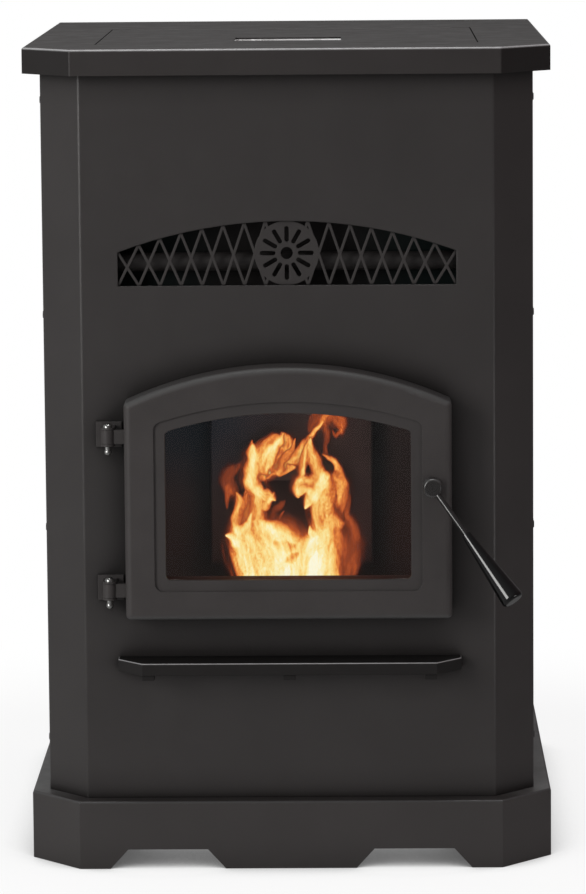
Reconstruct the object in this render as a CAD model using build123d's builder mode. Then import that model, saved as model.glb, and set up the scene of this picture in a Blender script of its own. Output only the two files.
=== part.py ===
from build123d import *
from math import atan2, cos, degrees, radians, sin, sqrt, tan
import os

# Free-standing cabinet pellet stove, in millimetres.
# +Z is up, the door faces -Y, and the origin is on the floor under the middle of the stove.
# Depths are measured from the outer face of the front panel towards the back.

# ---------------------------------------------------------------- cabinet
body_width = 570.0
body_depth = 640.0
stove_height = 955.0
base_height = 80.0
cap_height = 30.3
overhang = 20.0
corner_leg = 47.0
sheet = 2.0
bend_radius = 4.0
edge_radius = 3.0
wing_flange = 24.0
base_ledge = 46.0
cap_lip_gap = 0.5
strip_width = 36.0
strip_margin = 12.0
floor_gap = 0.6

# cut-outs that make feet in the base's front and back
foot_cutout_height = 23.0
foot_cutout_bottom = 135.0
foot_cutout_top = 93.0
foot_centre_width = 152.0
back_cutout_width = 440.0
back_cutout_height = 50.0

# ---------------------------------------------------------------- door
door_half = 188.0
door_bottom = 298.4
door_side_top = 550.0
door_crown = 591.4
door_front = 45.0
door_back_gap = 4.0
door_skin = 8.0
door_wall = 6.0
door_edge_radius = 8.0
door_corner_radius = 6.0
window_half = 141.0
window_bottom = 345.0
window_side_top = 517.4
window_crown = 538.7
window_radius = 6.0
recess_width = 13.0
recess_depth = 2.5
recess_radius = 10.0
glass_lap = 6.5
glass_thickness = 5.0
glass_tape = 1.0
tape_inset = 1.0
channel_inset = 29.5
channel_width = 7.0
channel_end = 10.0
rope_width = 4.0
rope_depth = 5.0
rope_gap = 0.3
collar_front = 6.0
collar_wall = 4.0
collar_inset = 31.0
clip_width = 14.0
clip_length = 7.5
clip_rise = 50.0
clip_head_radius = 1.8
clip_head_height = 1.8
glass_edge_gap = 2.0
clip_thickness = 1.5
clip_screw_radius = 1.0

# hinges
hinge_offset = 19.3
hinge_depth = 22.0
hinge_height = 509.6
hinge_spacing = 179.5
hinge_barrel_radius = 8.0
hinge_barrel_height = 16.0
hinge_ear = 2.5
hinge_arm = 8.0
hinge_plate_margin = 4.0
hinge_ball_drop = 7.0
hinge_pin_radius = 3.5
hinge_head_radius = 5.7
hinge_head_height = 4.4
hinge_head_rim = 0.3
hinge_ball_radius = 4.3
hinge_plate = 3.0
hinge_plate_width = 30.0
running_gap = 0.05
face_gap = 0.3

# latch and handle
latch_x = 165.6
latch_z = 453.4
hub_radius = 11.0
hub_length = 15.0
hub_edge_radius = 3.0
shaft_tail = 0.5
shaft_radius = 4.0
cam_reach = 14.0
cam_width = 8.0
cam_hub_radius = 6.5
cam_thickness = 4.0
cam_front = 15.0
cam_angle = -50.0
nut_across = 11.0
nut_height = 4.0
keeper_width = 10.0
keeper_shift = -1.0
keeper_post = 4.0
keeper_lip = 5.0
keeper_lip_thickness = 3.0
keeper_clear = 0.5
cam_sweep_gap = 1.8
handle_drop = 53.3
handle_lean = 22.0
rod_radius = 3.5
rod_length = 68.0
knob_length = 95.0
knob_neck_radius = 5.5
knob_end_radius = 13.5
knob_fillet = 4.0
knob_bore_depth = 20.0

# ---------------------------------------------------------------- grille
grille_half = 194.8
grille_bottom = 681.3
grille_side_top = 720.4
grille_crown = 755.5
grille_margin = 8.0
grille_thickness = 1.5
lattice_bays = 16
lattice_strip = 3.1
disc_radius = 37.3
disc_slots = 12
disc_slot_width = 5.0
disc_slot_inner = 13.0
disc_slot_outer = 31.0
disc_hole_radius = 7.0
plenum_half = 212.0
plenum_drop = 12.0
plenum_rise = 17.7
duct_sheet = 1.5
deflector_radius = 10.8
deflector_rise = 25.6
deflector_depth = 24.0

# ---------------------------------------------------------------- ash lip
lip_back_half = 199.0
lip_front_half = 170.0
lip_depth = 45.0
lip_corner = 29.0
lip_top = 248.0
lip_height = 14.0
tab_width = 14.0
tab_height = 6.0
tab_depth = 12.0
lip_edge_radius = 1.5

# ---------------------------------------------------------------- firebox
firebox_half = 190.0
firebox_front = 45.0
firebox_back = 240.0
firebox_bottom = 225.0
tube_cover = 10.0
plate = 4.0
leg_width = 30.0
tube_count = 7
tube_pitch = 52.0
tube_radius = 19.0
tube_wall = 2.0
tube_height = 611.0
seat_gap = 0.1
baffle_drop = 39.0
baffle_front_gap = 60.0
liner_half = 95.0
liner_forward = 32.0
liner_pot_gap = 6.0
liner_baffle_gap = 12.0
liner_sheet = 3.0
jacket_half = 185.0
jacket_depth = 35.0
jacket_bottom = 306.0
jacket_drop = 4.0

# burn pot, its stand and the ash pan
stand_left = 108.0
stand_right = 72.0
stand_front = 155.0
stand_height = 61.0
pot_length = 104.0
pot_depth = 66.0
pot_centre = 197.0
pot_top = 316.0
pot_drop = 40.0
pot_wall = 4.0
pot_rim = 6.0
pot_rim_thickness = 4.0
pot_hole_radius = 2.5
pot_hole_pitch = 14.0
pot_hole_columns = 6
pot_hole_rows = 3
pan_half = 160.0
pan_front = 56.0
pan_back = 148.0
pan_height = 60.0
pan_wall = 1.5
pan_corner_radius = 8.0
igniter_radius = 5.0
igniter_height = 272.0
igniter_tail = 50.0

# ---------------------------------------------------------------- fuel feed
lid_half = 222.0
lid_front = 85.0
lid_back = 430.0
lid_gap = 1.5
lid_flange = 7.0
lid_hinge_radius = 2.5
lid_hinge_clear = 0.5
lid_pin_radius = 1.2
lid_hinge_half = 200.0
lid_knuckles = 10
lid_knuckle_gap = 0.4
lid_leaf = 18.0
lid_leaf_thickness = 1.2
pull_half = 63.0
pull_front = 152.0
pull_back = 222.0
pull_drop = 24.0
pull_sheet = 1.0
pull_flange = 8.0
seal_width = 8.0
seal_gap = 0.3
seal_offset = 2.0
hopper_mouth_half = 204.0
hopper_mouth_front = 103.0
hopper_mouth_back = 400.0
hopper_ledge_drop = 10.0
hopper_ring_half = 232.0
hopper_ring_front = 70.0
hopper_ring_back = 464.0
hopper_mouth_height = 60.0
hopper_neck_top = 500.0
neck_half = 30.0
neck_length = 70.0
neck_end_margin = 100.0
neck_reach = 190.0
screw_seat = 8.0
flight_root = 1.0
gearbox_corner = 6.0
motor_edge_radius = 4.0
auger_angle = 50.0
auger_depth = 318.0
auger_height = 545.0
auger_head = 14.0
auger_rear_gap = 16.34
auger_tube_radius = 38.0
auger_wall = 2.0
auger_cap = 4.0
screw_radius = 33.0
screw_shaft_radius = 9.5
screw_pitch = 55.0
flight_thickness = 3.0
flight_margin = 14.0
flight_end_margin = 41.0
gearbox_size = 80.0
gearbox_length = 45.0
gear_motor_radius = 34.0
gear_motor_length = 60.0
chute_half = 33.0
chute_half_height = 24.0
chute_angle = 46.0
chute_mouth = 203.0
chute_drop = 25.0
chute_sheet = 2.0

# ---------------------------------------------------------------- blowers and pipes
flue_radius = 38.0
flue_wall = 2.0
flue_reach = 60.0
flue_hole_gap = 3.0
exhaust_left = 98.0
exhaust_width = 80.0
exhaust_depth = 400.0
exhaust_height = 268.0
scroll_radius = 70.0
scroll_wall = 2.0
scroll_exit = 540.0
flange_thickness = 5.0
flange_margin = 8.0
duct_left = 60.0
duct_bottom = 235.0
duct_top = 300.0
duct_end = 440.0
inlet_radius = 28.0
impeller_radius = 52.0
impeller_width = 30.0
impeller_blades = 10
blade_thickness = 2.0
motor_radius = 38.0
motor_length = 62.0
motor_shaft_radius = 4.0
shaft_hole_gap = 1.0
shaft_grip = 20.0
impeller_side_gap = 6.0
hub_core_radius = 10.0
convection_right = -110.0
convection_width = 70.0
convection_depth = 372.0
convection_height = 330.0
wheel_radius = 54.0
wheel_width = 50.0
wheel_blades = 24
wheel_rim = 2.0
blade_depth = 10.0
convection_inlet_radius = 42.0
convection_exit_height = 50.0
intake_radius = 25.4
intake_wall = 1.5
intake_x = -78.0
intake_height = 256.0
intake_reach = 40.0
intake_hole_gap = 3.0
bead_start = 4.0
bead_width = 4.0
bead_height = 1.8

# vents in the rear panel
vent_length = 60.0
vent_height = 6.0
vent_rows = 12
vent_columns = 3
vent_pitch_x = 90.0
vent_pitch_z = 16.0
vent_drop = 223.0

# ---------------------------------------------------------------- controls
panel_depth = 500.0
panel_drop = 213.0
panel_width = 120.0
panel_tall = 190.0
panel_thickness = 3.0
panel_lap = 10.0
panel_corner = 8.0
dial_radius = 22.0
dial_length = 13.0
dial_shaft_radius = 3.0
dial_offset = 40.0
dial_edge_radius = 2.0
pointer_width = 2.0
pointer_length = 12.0
pointer_depth = 1.0
button_radius = 8.0
button_travel = 2.5
button_gap = 0.2
button_offset = 45.0
button_proud = 1.0
button_edge_radius = 1.0
button_lip = 2.0
button_flange = 2.5
switch_half = 5.0
board_inset = 22.0
board_thickness = 1.6
board_post_radius = 4.0
pot_body = 18.0
inlet_width = 28.0
inlet_tall = 20.0
inlet_body = 30.0
inlet_flange = 5.0
inlet_lip = 2.0
inlet_recess = 14.0
inlet_wall = 1.5
inlet_pin = 2.0
inlet_pin_pitch = 7.0
inlet_pin_rise = 3.0
inlet_x = -190.0
inlet_z = 170.0

# cabinet screws
screw_head_radius = 4.0
screw_head_height = 1.4
screw_body_radius = 2.0
screw_body_length = 8.0
screw_rows = 4
screw_margin = 60.0
back_flange = 20.0
screw_hole_length = 20.0

# lengths of the drills that cut through one sheet and through one plate
sheet_drill = 6.0
plate_drill = 16.0

# ---------------------------------------------------------------- places worked out from the sizes
deg_lean = radians(handle_lean)
deg_drop = radians(handle_drop)
handle_span = rod_length + knob_length
hub_middle = door_front + hub_length / 2
knob_taper = atan2(knob_end_radius - knob_neck_radius, knob_length)
knob_rim_middle = knob_end_radius - knob_fillet * (tan(knob_taper) + 1 / cos(knob_taper))
knob_reach = (
    hub_middle
    + (handle_span - knob_fillet) * sin(deg_lean)
    + knob_rim_middle * cos(deg_lean)
    + knob_fillet
)
front_y = (knob_reach - body_depth - flue_reach) / 2
back_y = front_y + body_depth
body_half = body_width / 2
cap_underside = stove_height - sheet
panel_open_half = panel_width / 2 - panel_lap
panel_open_rise = panel_tall / 2 - panel_lap
cap_bottom = stove_height - cap_height
firebox_top = tube_height + tube_radius + tube_cover
baffle_height = tube_height - baffle_drop
liner_top = baffle_height - liner_baffle_gap
jacket_top = firebox_top - jacket_drop
plenum_bottom = tube_height - tube_radius - plenum_drop
plenum_top = grille_crown + plenum_rise
deflector_height = grille_bottom + deflector_rise
hopper_ledge = cap_underside - hopper_ledge_drop
hopper_shoulder = hopper_ledge - hopper_mouth_height
vent_centre = cap_underside - vent_drop
panel_height = cap_underside - panel_drop
deg_auger = radians(auger_angle)
auger_run = body_depth - auger_rear_gap - auger_depth - gear_motor_radius * sin(deg_auger)
auger_length = auger_run / cos(deg_auger) - gearbox_length - gear_motor_length
neck_reach_back = (auger_length - neck_end_margin) * cos(deg_auger)
neck_back = auger_depth + neck_reach_back + auger_tube_radius * sin(deg_auger)
neck_front = neck_back - neck_length
chute_length = (auger_depth - chute_mouth) / cos(radians(chute_angle)) + 4 * chute_half_height
leg_growth = 2 - sqrt(2)
hinge_x = -(door_half + hinge_offset)
hinge_y = front_y - hinge_depth


def at(depth):
    """The y of a plane that lies this far behind the front panel's outer face."""
    return front_y + depth


def upright(depth):
    """Vertical plane facing the front, at a depth behind the front panel's outer face."""
    return Plane.XZ.offset(-at(depth))


def cabinet_face(grow, back):
    """Plan of the cabinet with chamfered front corners, grown outwards, ending at y = back."""
    half = body_half + grow
    front = front_y - grow
    leg = corner_leg + grow * leg_growth
    with BuildSketch(mode=Mode.PRIVATE) as plan:
        with BuildLine():
            Polyline(
                (-half, back),
                (-half, front + leg),
                (-half + leg, front),
                (half - leg, front),
                (half, front + leg),
                (half, back),
                close=True,
            )
        make_face()
    return plan.sketch


def arch_face(half, bottom, side_top, crown):
    """Upright opening or plate with straight sides and an arched top."""
    with BuildSketch(mode=Mode.PRIVATE) as arch:
        with BuildLine():
            Polyline((-half, side_top), (-half, bottom), (half, bottom), (half, side_top))
            ThreePointArc((half, side_top), (0, crown), (-half, side_top))
        make_face()
    return arch.sketch


def door_face(inset):
    """The door's outline, moved inwards by the inset."""
    radius = ((door_crown - door_side_top) ** 2 + door_half**2) / (2 * (door_crown - door_side_top))
    half = door_half - inset
    inner_radius = radius - inset
    side_top = door_crown - radius + sqrt(inner_radius**2 - half**2)
    return arch_face(half, door_bottom + inset, side_top, door_crown - inset)


def window_face(grow):
    """The window's outline, moved outwards by the given amount."""
    rise = window_crown - window_side_top
    radius = (rise**2 + window_half**2) / (2 * rise)
    half = window_half + grow
    outer_radius = radius + grow
    side_top = window_crown - radius + sqrt(outer_radius**2 - half**2)
    return arch_face(half, window_bottom - grow, side_top, window_crown + grow)


def block(x_span, y_span, z_span, mode=Mode.ADD):
    """Box between two limits along each axis."""
    middle = [(low + high) / 2 for low, high in (x_span, y_span, z_span)]
    size = [high - low for low, high in (x_span, y_span, z_span)]
    with Locations(Vector(*middle)):
        Box(*size, mode=mode)


def sides(half):
    """Two limits at equal distances left and right of the middle."""
    return (-half, half)


def save(piece, name):
    """Name a finished piece and write it."""
    piece.part.label = name
    export_step(piece.part, f"parts/{name}.step")


def sheet_plate(x_span, y_span, z_span):
    """One flat sheet of a duct, between two limits along each axis."""
    with BuildPart(mode=Mode.PRIVATE) as plate_part:
        block(x_span, y_span, z_span)
    return plate_part


def save_sheets(sheets, name):
    """Write a piece that is welded up from separate sheets, which meet edge to edge."""
    welded = Compound([solid for sheet_part in sheets for solid in sheet_part.part.solids()])
    welded.label = name
    export_step(welded, f"parts/{name}.step")


os.makedirs("parts", exist_ok=True)

# ================================================================ cabinet
# Pedestal base: a skirt with feet, folded in at the top to a ledge that carries the panels.
foot_middle = (foot_centre_width + foot_cutout_bottom) / 2
foot_angle = degrees(atan2(foot_cutout_height, (foot_cutout_bottom - foot_cutout_top) / 2))
with BuildPart() as pedestal_base:
    with BuildSketch():
        add(cabinet_face(overhang, back_y))
    extrude(amount=base_height)
    fillet(pedestal_base.faces().sort_by(Axis.Z)[-1].edges(), edge_radius)
    with BuildSketch():
        add(cabinet_face(overhang - sheet, back_y - sheet))
    extrude(amount=base_height - sheet, mode=Mode.SUBTRACT)
    with BuildSketch(Plane.XY.offset(base_height)):
        add(cabinet_face(-base_ledge, back_y - base_ledge))
    extrude(amount=-sheet, mode=Mode.SUBTRACT)
    with BuildSketch(upright(-overhang)):
        with Locations((-foot_middle, 0), (foot_middle, 0)):
            Trapezoid(
                foot_cutout_bottom,
                foot_cutout_height,
                foot_angle,
                align=(Align.CENTER, Align.MIN),
            )
    extrude(amount=-sheet, mode=Mode.SUBTRACT)
    with BuildSketch(upright(body_depth)):
        Rectangle(back_cutout_width, back_cutout_height, align=(Align.CENTER, Align.MIN))
    extrude(amount=sheet, mode=Mode.SUBTRACT)
save(pedestal_base, "pedestal_base")

# Floor plate: lies on the ledge inside the panels.
with BuildPart() as floor_plate:
    with BuildSketch(Plane.XY.offset(base_height)):
        add(cabinet_face(-sheet - floor_gap, back_y - sheet - floor_gap))
    extrude(amount=sheet)
save(floor_plate, "floor_plate")

# Screws along the side seams and around the rear panel.
wing_end = front_y + corner_leg + wing_flange
seam_rows = [
    base_height + screw_margin + row * (cap_underside - base_height - 2 * screw_margin) / (screw_rows - 1)
    for row in range(screw_rows)
]
seam_spots = [
    (wing_end + place * strip_width / 4, height) for place in (-1, 1) for height in seam_rows
]
back_screw_x = body_half - sheet - back_flange / 2


def seam_holes(side):
    """Clearance holes for the screws of one side seam."""
    for y, z in seam_spots:
        with Locations((side * body_half, y, z)):
            Cylinder(
                screw_body_radius + seat_gap,
                screw_hole_length,
                rotation=(0, 90, 0),
                mode=Mode.SUBTRACT,
            )


def back_holes():
    """Clearance holes for the screws of the rear panel."""
    for side in (-1, 1):
        for z in seam_rows:
            with Locations((side * back_screw_x, back_y, z)):
                Cylinder(
                    screw_body_radius + seat_gap,
                    screw_hole_length,
                    rotation=(90, 0, 0),
                    mode=Mode.SUBTRACT,
                )


# Front panel: the front, the two corner wings and a flange along each side, folded from one sheet.
with BuildPart() as front_panel:
    with BuildSketch(Plane.XY.offset(base_height)):
        with BuildLine():
            FilletPolyline(
                (-body_half, wing_end),
                (-body_half, front_y + corner_leg),
                (-body_half + corner_leg, front_y),
                (body_half - corner_leg, front_y),
                (body_half, front_y + corner_leg),
                (body_half, wing_end),
                radius=bend_radius,
            )
            offset(amount=sheet, side=Side.LEFT)
        make_face()
    extrude(amount=cap_underside - base_height)
    with BuildSketch(upright(0)):
        add(arch_face(grille_half, grille_bottom, grille_side_top, grille_crown))
        add(door_face(collar_inset - floor_gap))
    extrude(amount=-sheet, mode=Mode.SUBTRACT)
    for side in (-1, 1):
        seam_holes(side)
save(front_panel, "front_panel")

# Side panels: each starts at the front panel's flange and turns in at the back.
for side, name in ((-1, "left_side_panel"), (1, "right_side_panel")):
    with BuildPart() as side_panel:
        outer_x = side * body_half
        inner_x = side * (body_half - sheet)
        block(
            sorted((inner_x, outer_x)),
            (wing_end, back_y - sheet),
            (base_height, cap_underside),
        )
        block(
            sorted((inner_x - side * back_flange, inner_x)),
            (back_y - 2 * sheet, back_y - sheet),
            (base_height + floor_gap + sheet, cap_underside),
        )
        seam_holes(side)
        back_holes()
        if side > 0:
            block(
                sorted((inner_x, outer_x)),
                (at(panel_depth) - panel_open_half, at(panel_depth) + panel_open_half),
                (panel_height - panel_open_rise, panel_height + panel_open_rise),
                mode=Mode.SUBTRACT,
            )
    save(side_panel, name)

# Joint strips: one behind each seam between the front panel and a side panel.
with BuildPart() as joint_strips:
    for side in (-1, 1):
        block(
            sorted((side * (body_half - 2 * sheet), side * (body_half - sheet))),
            (wing_end - strip_width / 2, wing_end + strip_width / 2),
            (base_height + strip_margin, cap_underside - strip_margin),
        )
        seam_holes(side)
save(joint_strips, "joint_strips")

# Rear panel with its vents, flue hole, air intake hole and power inlet cut-out.
flue_x = exhaust_left + exhaust_width / 2
flue_z = exhaust_height - scroll_radius + flue_radius
with BuildPart() as rear_panel:
    block(sides(body_half), (back_y - sheet, back_y), (base_height, cap_underside))
    with BuildSketch(upright(body_depth)):
        with Locations((flue_x, flue_z)):
            Circle(flue_radius + flue_hole_gap)
        with Locations((intake_x, intake_height)):
            Circle(intake_radius + intake_hole_gap)
        with Locations((inlet_x, inlet_z)):
            Rectangle(inlet_width + 2 * seat_gap, inlet_tall + 2 * seat_gap)
        with Locations((0, vent_centre)):
            with GridLocations(vent_pitch_x, vent_pitch_z, vent_columns, vent_rows):
                SlotOverall(vent_length, vent_height)
    extrude(amount=sheet, mode=Mode.SUBTRACT)
    back_holes()
save(rear_panel, "rear_panel")

# Top cap: a shallow folded tray that overhangs the front and sides, with the lid's opening.
lid_axis_y = at(lid_back) + lid_hinge_radius + lid_hinge_clear
lid_axis_z = stove_height - lid_hinge_radius
lid_opening_back = lid_axis_y + lid_hinge_radius + lid_hinge_clear
with BuildPart() as top_cap:
    with BuildSketch(Plane.XY.offset(cap_bottom)):
        add(cabinet_face(overhang, back_y))
    extrude(amount=cap_height)
    fillet(top_cap.edges().filter_by(Axis.Z).sort_by(Axis.Y)[:-2], edge_radius)
    fillet(top_cap.faces().sort_by(Axis.Z)[-1].edges().sort_by(Axis.Y)[:-1], edge_radius)
    with BuildSketch(Plane.XY.offset(cap_bottom + sheet)):
        add(cabinet_face(overhang - sheet, back_y))
    extrude(amount=cap_height - 2 * sheet, mode=Mode.SUBTRACT)
    with BuildSketch(Plane.XY.offset(cap_bottom)):
        add(cabinet_face(cap_lip_gap, back_y))
    extrude(amount=sheet, mode=Mode.SUBTRACT)
    block(
        sides(lid_half + lid_gap),
        (at(lid_front) - lid_gap, lid_opening_back),
        (cap_underside, stove_height),
        mode=Mode.SUBTRACT,
    )
save(top_cap, "top_cap")

# Outlet grille: a crossed lattice under an arch, with a slotted disc in the middle.
lattice_pitch = 2 * grille_half / lattice_bays
grille_rise = grille_crown - grille_side_top
grille_arc = (grille_rise**2 + grille_half**2) / (2 * grille_rise)
disc_height = (grille_bottom + grille_crown) / 2


def arch_height(x):
    """Height of the grille's arch above the floor at a distance from its middle."""
    return grille_crown - grille_arc + sqrt(grille_arc**2 - x**2)


with BuildPart() as outlet_grille:
    with BuildSketch(upright(sheet)):
        add(
            arch_face(
                grille_half + grille_margin,
                grille_bottom - grille_margin,
                grille_side_top + grille_margin,
                grille_crown + grille_margin,
            )
        )
        add(
            arch_face(grille_half, grille_bottom, grille_side_top, grille_crown),
            mode=Mode.SUBTRACT,
        )
        for bay in range(lattice_bays):
            left = -grille_half + bay * lattice_pitch
            right = left + lattice_pitch
            for foot, head in ((left, right), (right, left)):
                rise = arch_height(head) - grille_bottom
                with Locations(((foot + head) / 2, grille_bottom + rise / 2)):
                    Rectangle(
                        sqrt(rise**2 + lattice_pitch**2) + lattice_strip,
                        lattice_strip,
                        rotation=degrees(atan2(rise, head - foot)),
                    )
        with Locations((0, disc_height)):
            Circle(disc_radius)
            with PolarLocations((disc_slot_inner + disc_slot_outer) / 2, disc_slots):
                SlotOverall(disc_slot_outer - disc_slot_inner, disc_slot_width, mode=Mode.SUBTRACT)
            Circle(disc_hole_radius, mode=Mode.SUBTRACT)
    extrude(amount=-grille_thickness)
save(outlet_grille, "outlet_grille")

# Warm air plenum behind the grille, fed by the heat exchanger tubes.
tube_spots = [(number - (tube_count - 1) / 2) * tube_pitch for number in range(tube_count)]
plenum_depths = (at(sheet), at(firebox_front))
plenum_heights = (plenum_bottom + duct_sheet, plenum_top - duct_sheet)
with BuildPart() as plenum_rear:
    block(
        sides(plenum_half - duct_sheet),
        (at(firebox_front) - duct_sheet, at(firebox_front)),
        plenum_heights,
    )
    with BuildSketch(upright(firebox_front)):
        for x in tube_spots:
            with Locations((x, tube_height)):
                Circle(tube_radius + seat_gap)
    extrude(amount=duct_sheet, mode=Mode.SUBTRACT)
save_sheets(
    [
        plenum_rear,
        sheet_plate(sides(plenum_half), plenum_depths, (plenum_bottom, plenum_bottom + duct_sheet)),
        sheet_plate(sides(plenum_half), plenum_depths, (plenum_top - duct_sheet, plenum_top)),
        sheet_plate((-plenum_half, duct_sheet - plenum_half), plenum_depths, plenum_heights),
        sheet_plate((plenum_half - duct_sheet, plenum_half), plenum_depths, plenum_heights),
    ],
    "outlet_plenum",
)

# Air deflector: a half-round strip across the plenum, bowed to the front.
with BuildPart() as air_deflector:
    with BuildSketch(Plane.YZ):
        with Locations((at(deflector_depth), deflector_height)):
            Circle(deflector_radius)
            Circle(deflector_radius - duct_sheet, mode=Mode.SUBTRACT)
            Rectangle(
                deflector_radius,
                2 * deflector_radius,
                align=(Align.MIN, Align.CENTER),
                mode=Mode.SUBTRACT,
            )
    extrude(amount=plenum_half - duct_sheet, both=True)
save(air_deflector, "air_deflector")

# Ash lip: a shallow folded shelf under the door, with three small tabs below it.
with BuildPart() as ash_lip:
    with BuildSketch(Plane.XY.offset(lip_top)) as lip_plan:
        with BuildLine():
            Polyline(
                (-lip_back_half, at(0)),
                (-lip_back_half, at(lip_corner - lip_depth)),
                (-lip_front_half, at(-lip_depth)),
                (lip_front_half, at(-lip_depth)),
                (lip_back_half, at(lip_corner - lip_depth)),
                (lip_back_half, at(0)),
                close=True,
            )
        make_face()
    extrude(amount=-lip_height)
    fillet(ash_lip.faces().sort_by(Axis.Z)[-1].edges().sort_by(Axis.Y)[:-1], lip_edge_radius)
    with BuildSketch(Plane.XY.offset(lip_top - lip_height)):
        add(lip_plan.sketch_local)
        offset(amount=-sheet, mode=Mode.REPLACE)
    extrude(amount=lip_height - sheet, mode=Mode.SUBTRACT)
    for x in (tab_width / 2 - lip_front_half, 0, lip_front_half - tab_width / 2):
        block(
            (x - tab_width / 2, x + tab_width / 2),
            (at(sheet - lip_depth), at(sheet - lip_depth + tab_depth)),
            (lip_top - lip_height - tab_height, lip_top - sheet),
        )
save(ash_lip, "ash_lip")

# ================================================================ firebox
auger_plane = Plane(
    origin=(0, at(auger_depth), auger_height),
    x_dir=(1, 0, 0),
    z_dir=(0, cos(deg_auger), -sin(deg_auger)),
)
chute_top = auger_plane.from_local_coords((0, 0, chute_drop))
chute_run = Vector(0, -cos(radians(chute_angle)), -sin(radians(chute_angle)))


def chute_box(grow, mode=Mode.ADD):
    """The sloping chute's outer box, grown by a clearance or shrunk by a wall."""
    middle = chute_top + chute_run * (chute_length / 2)
    with Locations(Location(middle, (chute_angle, 0, 0))):
        Box(
            2 * (chute_half + grow),
            chute_length,
            2 * (chute_half_height + grow),
            mode=mode,
        )


# Firebox shell: welded plate box with the door's collar and four legs.
inner_half = firebox_half - plate
liner_bottom = pot_top + liner_pot_gap
floor_top = firebox_bottom + plate
rear_inside = at(firebox_back) - plate
with BuildPart() as firebox_shell:
    block(sides(firebox_half), (at(firebox_front), at(firebox_back)), (firebox_bottom, firebox_top))
    block(
        sides(inner_half),
        (at(firebox_front) + plate, rear_inside),
        (floor_top, firebox_top - plate),
        mode=Mode.SUBTRACT,
    )
    with BuildSketch(upright(-collar_front)):
        add(door_face(collar_inset))
    extrude(amount=-(collar_front + firebox_front + plate))
    with BuildSketch(upright(-collar_front)):
        add(door_face(collar_inset + collar_wall))
    extrude(amount=-(collar_front + firebox_front + plate), mode=Mode.SUBTRACT)
    with BuildSketch(upright(firebox_front)):
        for x in tube_spots:
            with Locations((x, tube_height)):
                Circle(tube_radius + seat_gap)
    extrude(amount=-(firebox_back - firebox_front), mode=Mode.SUBTRACT)
    block(
        (duct_left + duct_sheet, exhaust_left - duct_sheet),
        (rear_inside, at(firebox_back)),
        (duct_bottom + duct_sheet, duct_top - duct_sheet),
        mode=Mode.SUBTRACT,
    )
    for radius, x, z in (
        (intake_radius + seat_gap, intake_x, intake_height),
        (igniter_radius + seat_gap, 0, igniter_height),
    ):
        with Locations((x, rear_inside, z)):
            Cylinder(radius, plate_drill, rotation=(90, 0, 0), mode=Mode.SUBTRACT)
    chute_box(seat_gap, mode=Mode.SUBTRACT)
    for side in (-1, 1):
        for y in (at(firebox_front), at(firebox_back) - leg_width):
            block(
                sorted((side * firebox_half, side * (firebox_half - leg_width))),
                (y, y + leg_width),
                (base_height + sheet, firebox_bottom),
            )
save(firebox_shell, "firebox_shell")

# Exhaust duct: sheet channel from the firebox's rear wall to the side of the exhaust blower.
duct_depths = (at(firebox_back), at(duct_end))
duct_heights = (duct_bottom + duct_sheet, duct_top - duct_sheet)
with BuildPart() as duct_outlet_side:
    block((exhaust_left - duct_sheet, exhaust_left), duct_depths, duct_heights)
    with Locations((exhaust_left, at(exhaust_depth), exhaust_height)):
        Cylinder(inlet_radius, sheet_drill, rotation=(0, 90, 0), mode=Mode.SUBTRACT)
save_sheets(
    [
        duct_outlet_side,
        sheet_plate((duct_left, duct_left + duct_sheet), duct_depths, duct_heights),
        sheet_plate((duct_left, exhaust_left), duct_depths, (duct_bottom, duct_bottom + duct_sheet)),
        sheet_plate((duct_left, exhaust_left), duct_depths, (duct_top - duct_sheet, duct_top)),
        sheet_plate(
            (duct_left + duct_sheet, exhaust_left - duct_sheet),
            (at(duct_end) - duct_sheet, at(duct_end)),
            duct_heights,
        ),
    ],
    "exhaust_duct",
)

# Rear liner: folded plate in front of the rear wall, stepped forward in the middle.
with BuildPart() as rear_liner:
    with BuildSketch(Plane.XY.offset(liner_bottom)):
        with BuildLine():
            Polyline(
                (-inner_half, rear_inside),
                (-liner_half, rear_inside),
                (-liner_half, rear_inside - liner_forward),
                (liner_half, rear_inside - liner_forward),
                (liner_half, rear_inside),
                (inner_half, rear_inside),
            )
            offset(amount=liner_sheet, side=Side.RIGHT)
        make_face()
    extrude(amount=liner_top - liner_bottom)
    chute_box(seat_gap, mode=Mode.SUBTRACT)
save(rear_liner, "rear_liner")

# Baffle plate: turns the flue gas forwards before it passes the tubes.
with BuildPart() as baffle_plate:
    block(
        sides(inner_half),
        (at(firebox_front) + plate + baffle_front_gap, rear_inside),
        (baffle_height, baffle_height + plate),
    )
save(baffle_plate, "baffle_plate")

# Heat exchanger tubes: front to back through the top of the firebox.
with BuildPart() as heat_exchanger_tubes:
    with BuildSketch(upright(firebox_front - duct_sheet)):
        for x in tube_spots:
            with Locations((x, tube_height)):
                Circle(tube_radius)
                Circle(tube_radius - tube_wall, mode=Mode.SUBTRACT)
    extrude(amount=-(firebox_back - firebox_front + duct_sheet))
save(heat_exchanger_tubes, "heat_exchanger_tubes")

# Air jacket: sheet box on the firebox's rear wall that feeds the tubes.
convection_left = convection_right - convection_width
convection_top = convection_height + scroll_radius
jacket_back = at(firebox_back + jacket_depth)
with BuildPart() as air_jacket:
    block(sides(jacket_half), (at(firebox_back), jacket_back), (jacket_bottom, jacket_top))
    block(
        sides(jacket_half - duct_sheet),
        (at(firebox_back), jacket_back - duct_sheet),
        (jacket_bottom + duct_sheet, jacket_top - duct_sheet),
        mode=Mode.SUBTRACT,
    )
    block(
        (convection_left + scroll_wall, convection_right - scroll_wall),
        (jacket_back - duct_sheet, jacket_back),
        (convection_top - convection_exit_height + scroll_wall, convection_top - scroll_wall),
        mode=Mode.SUBTRACT,
    )
    chute_box(seat_gap, mode=Mode.SUBTRACT)
save(air_jacket, "air_jacket")

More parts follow.
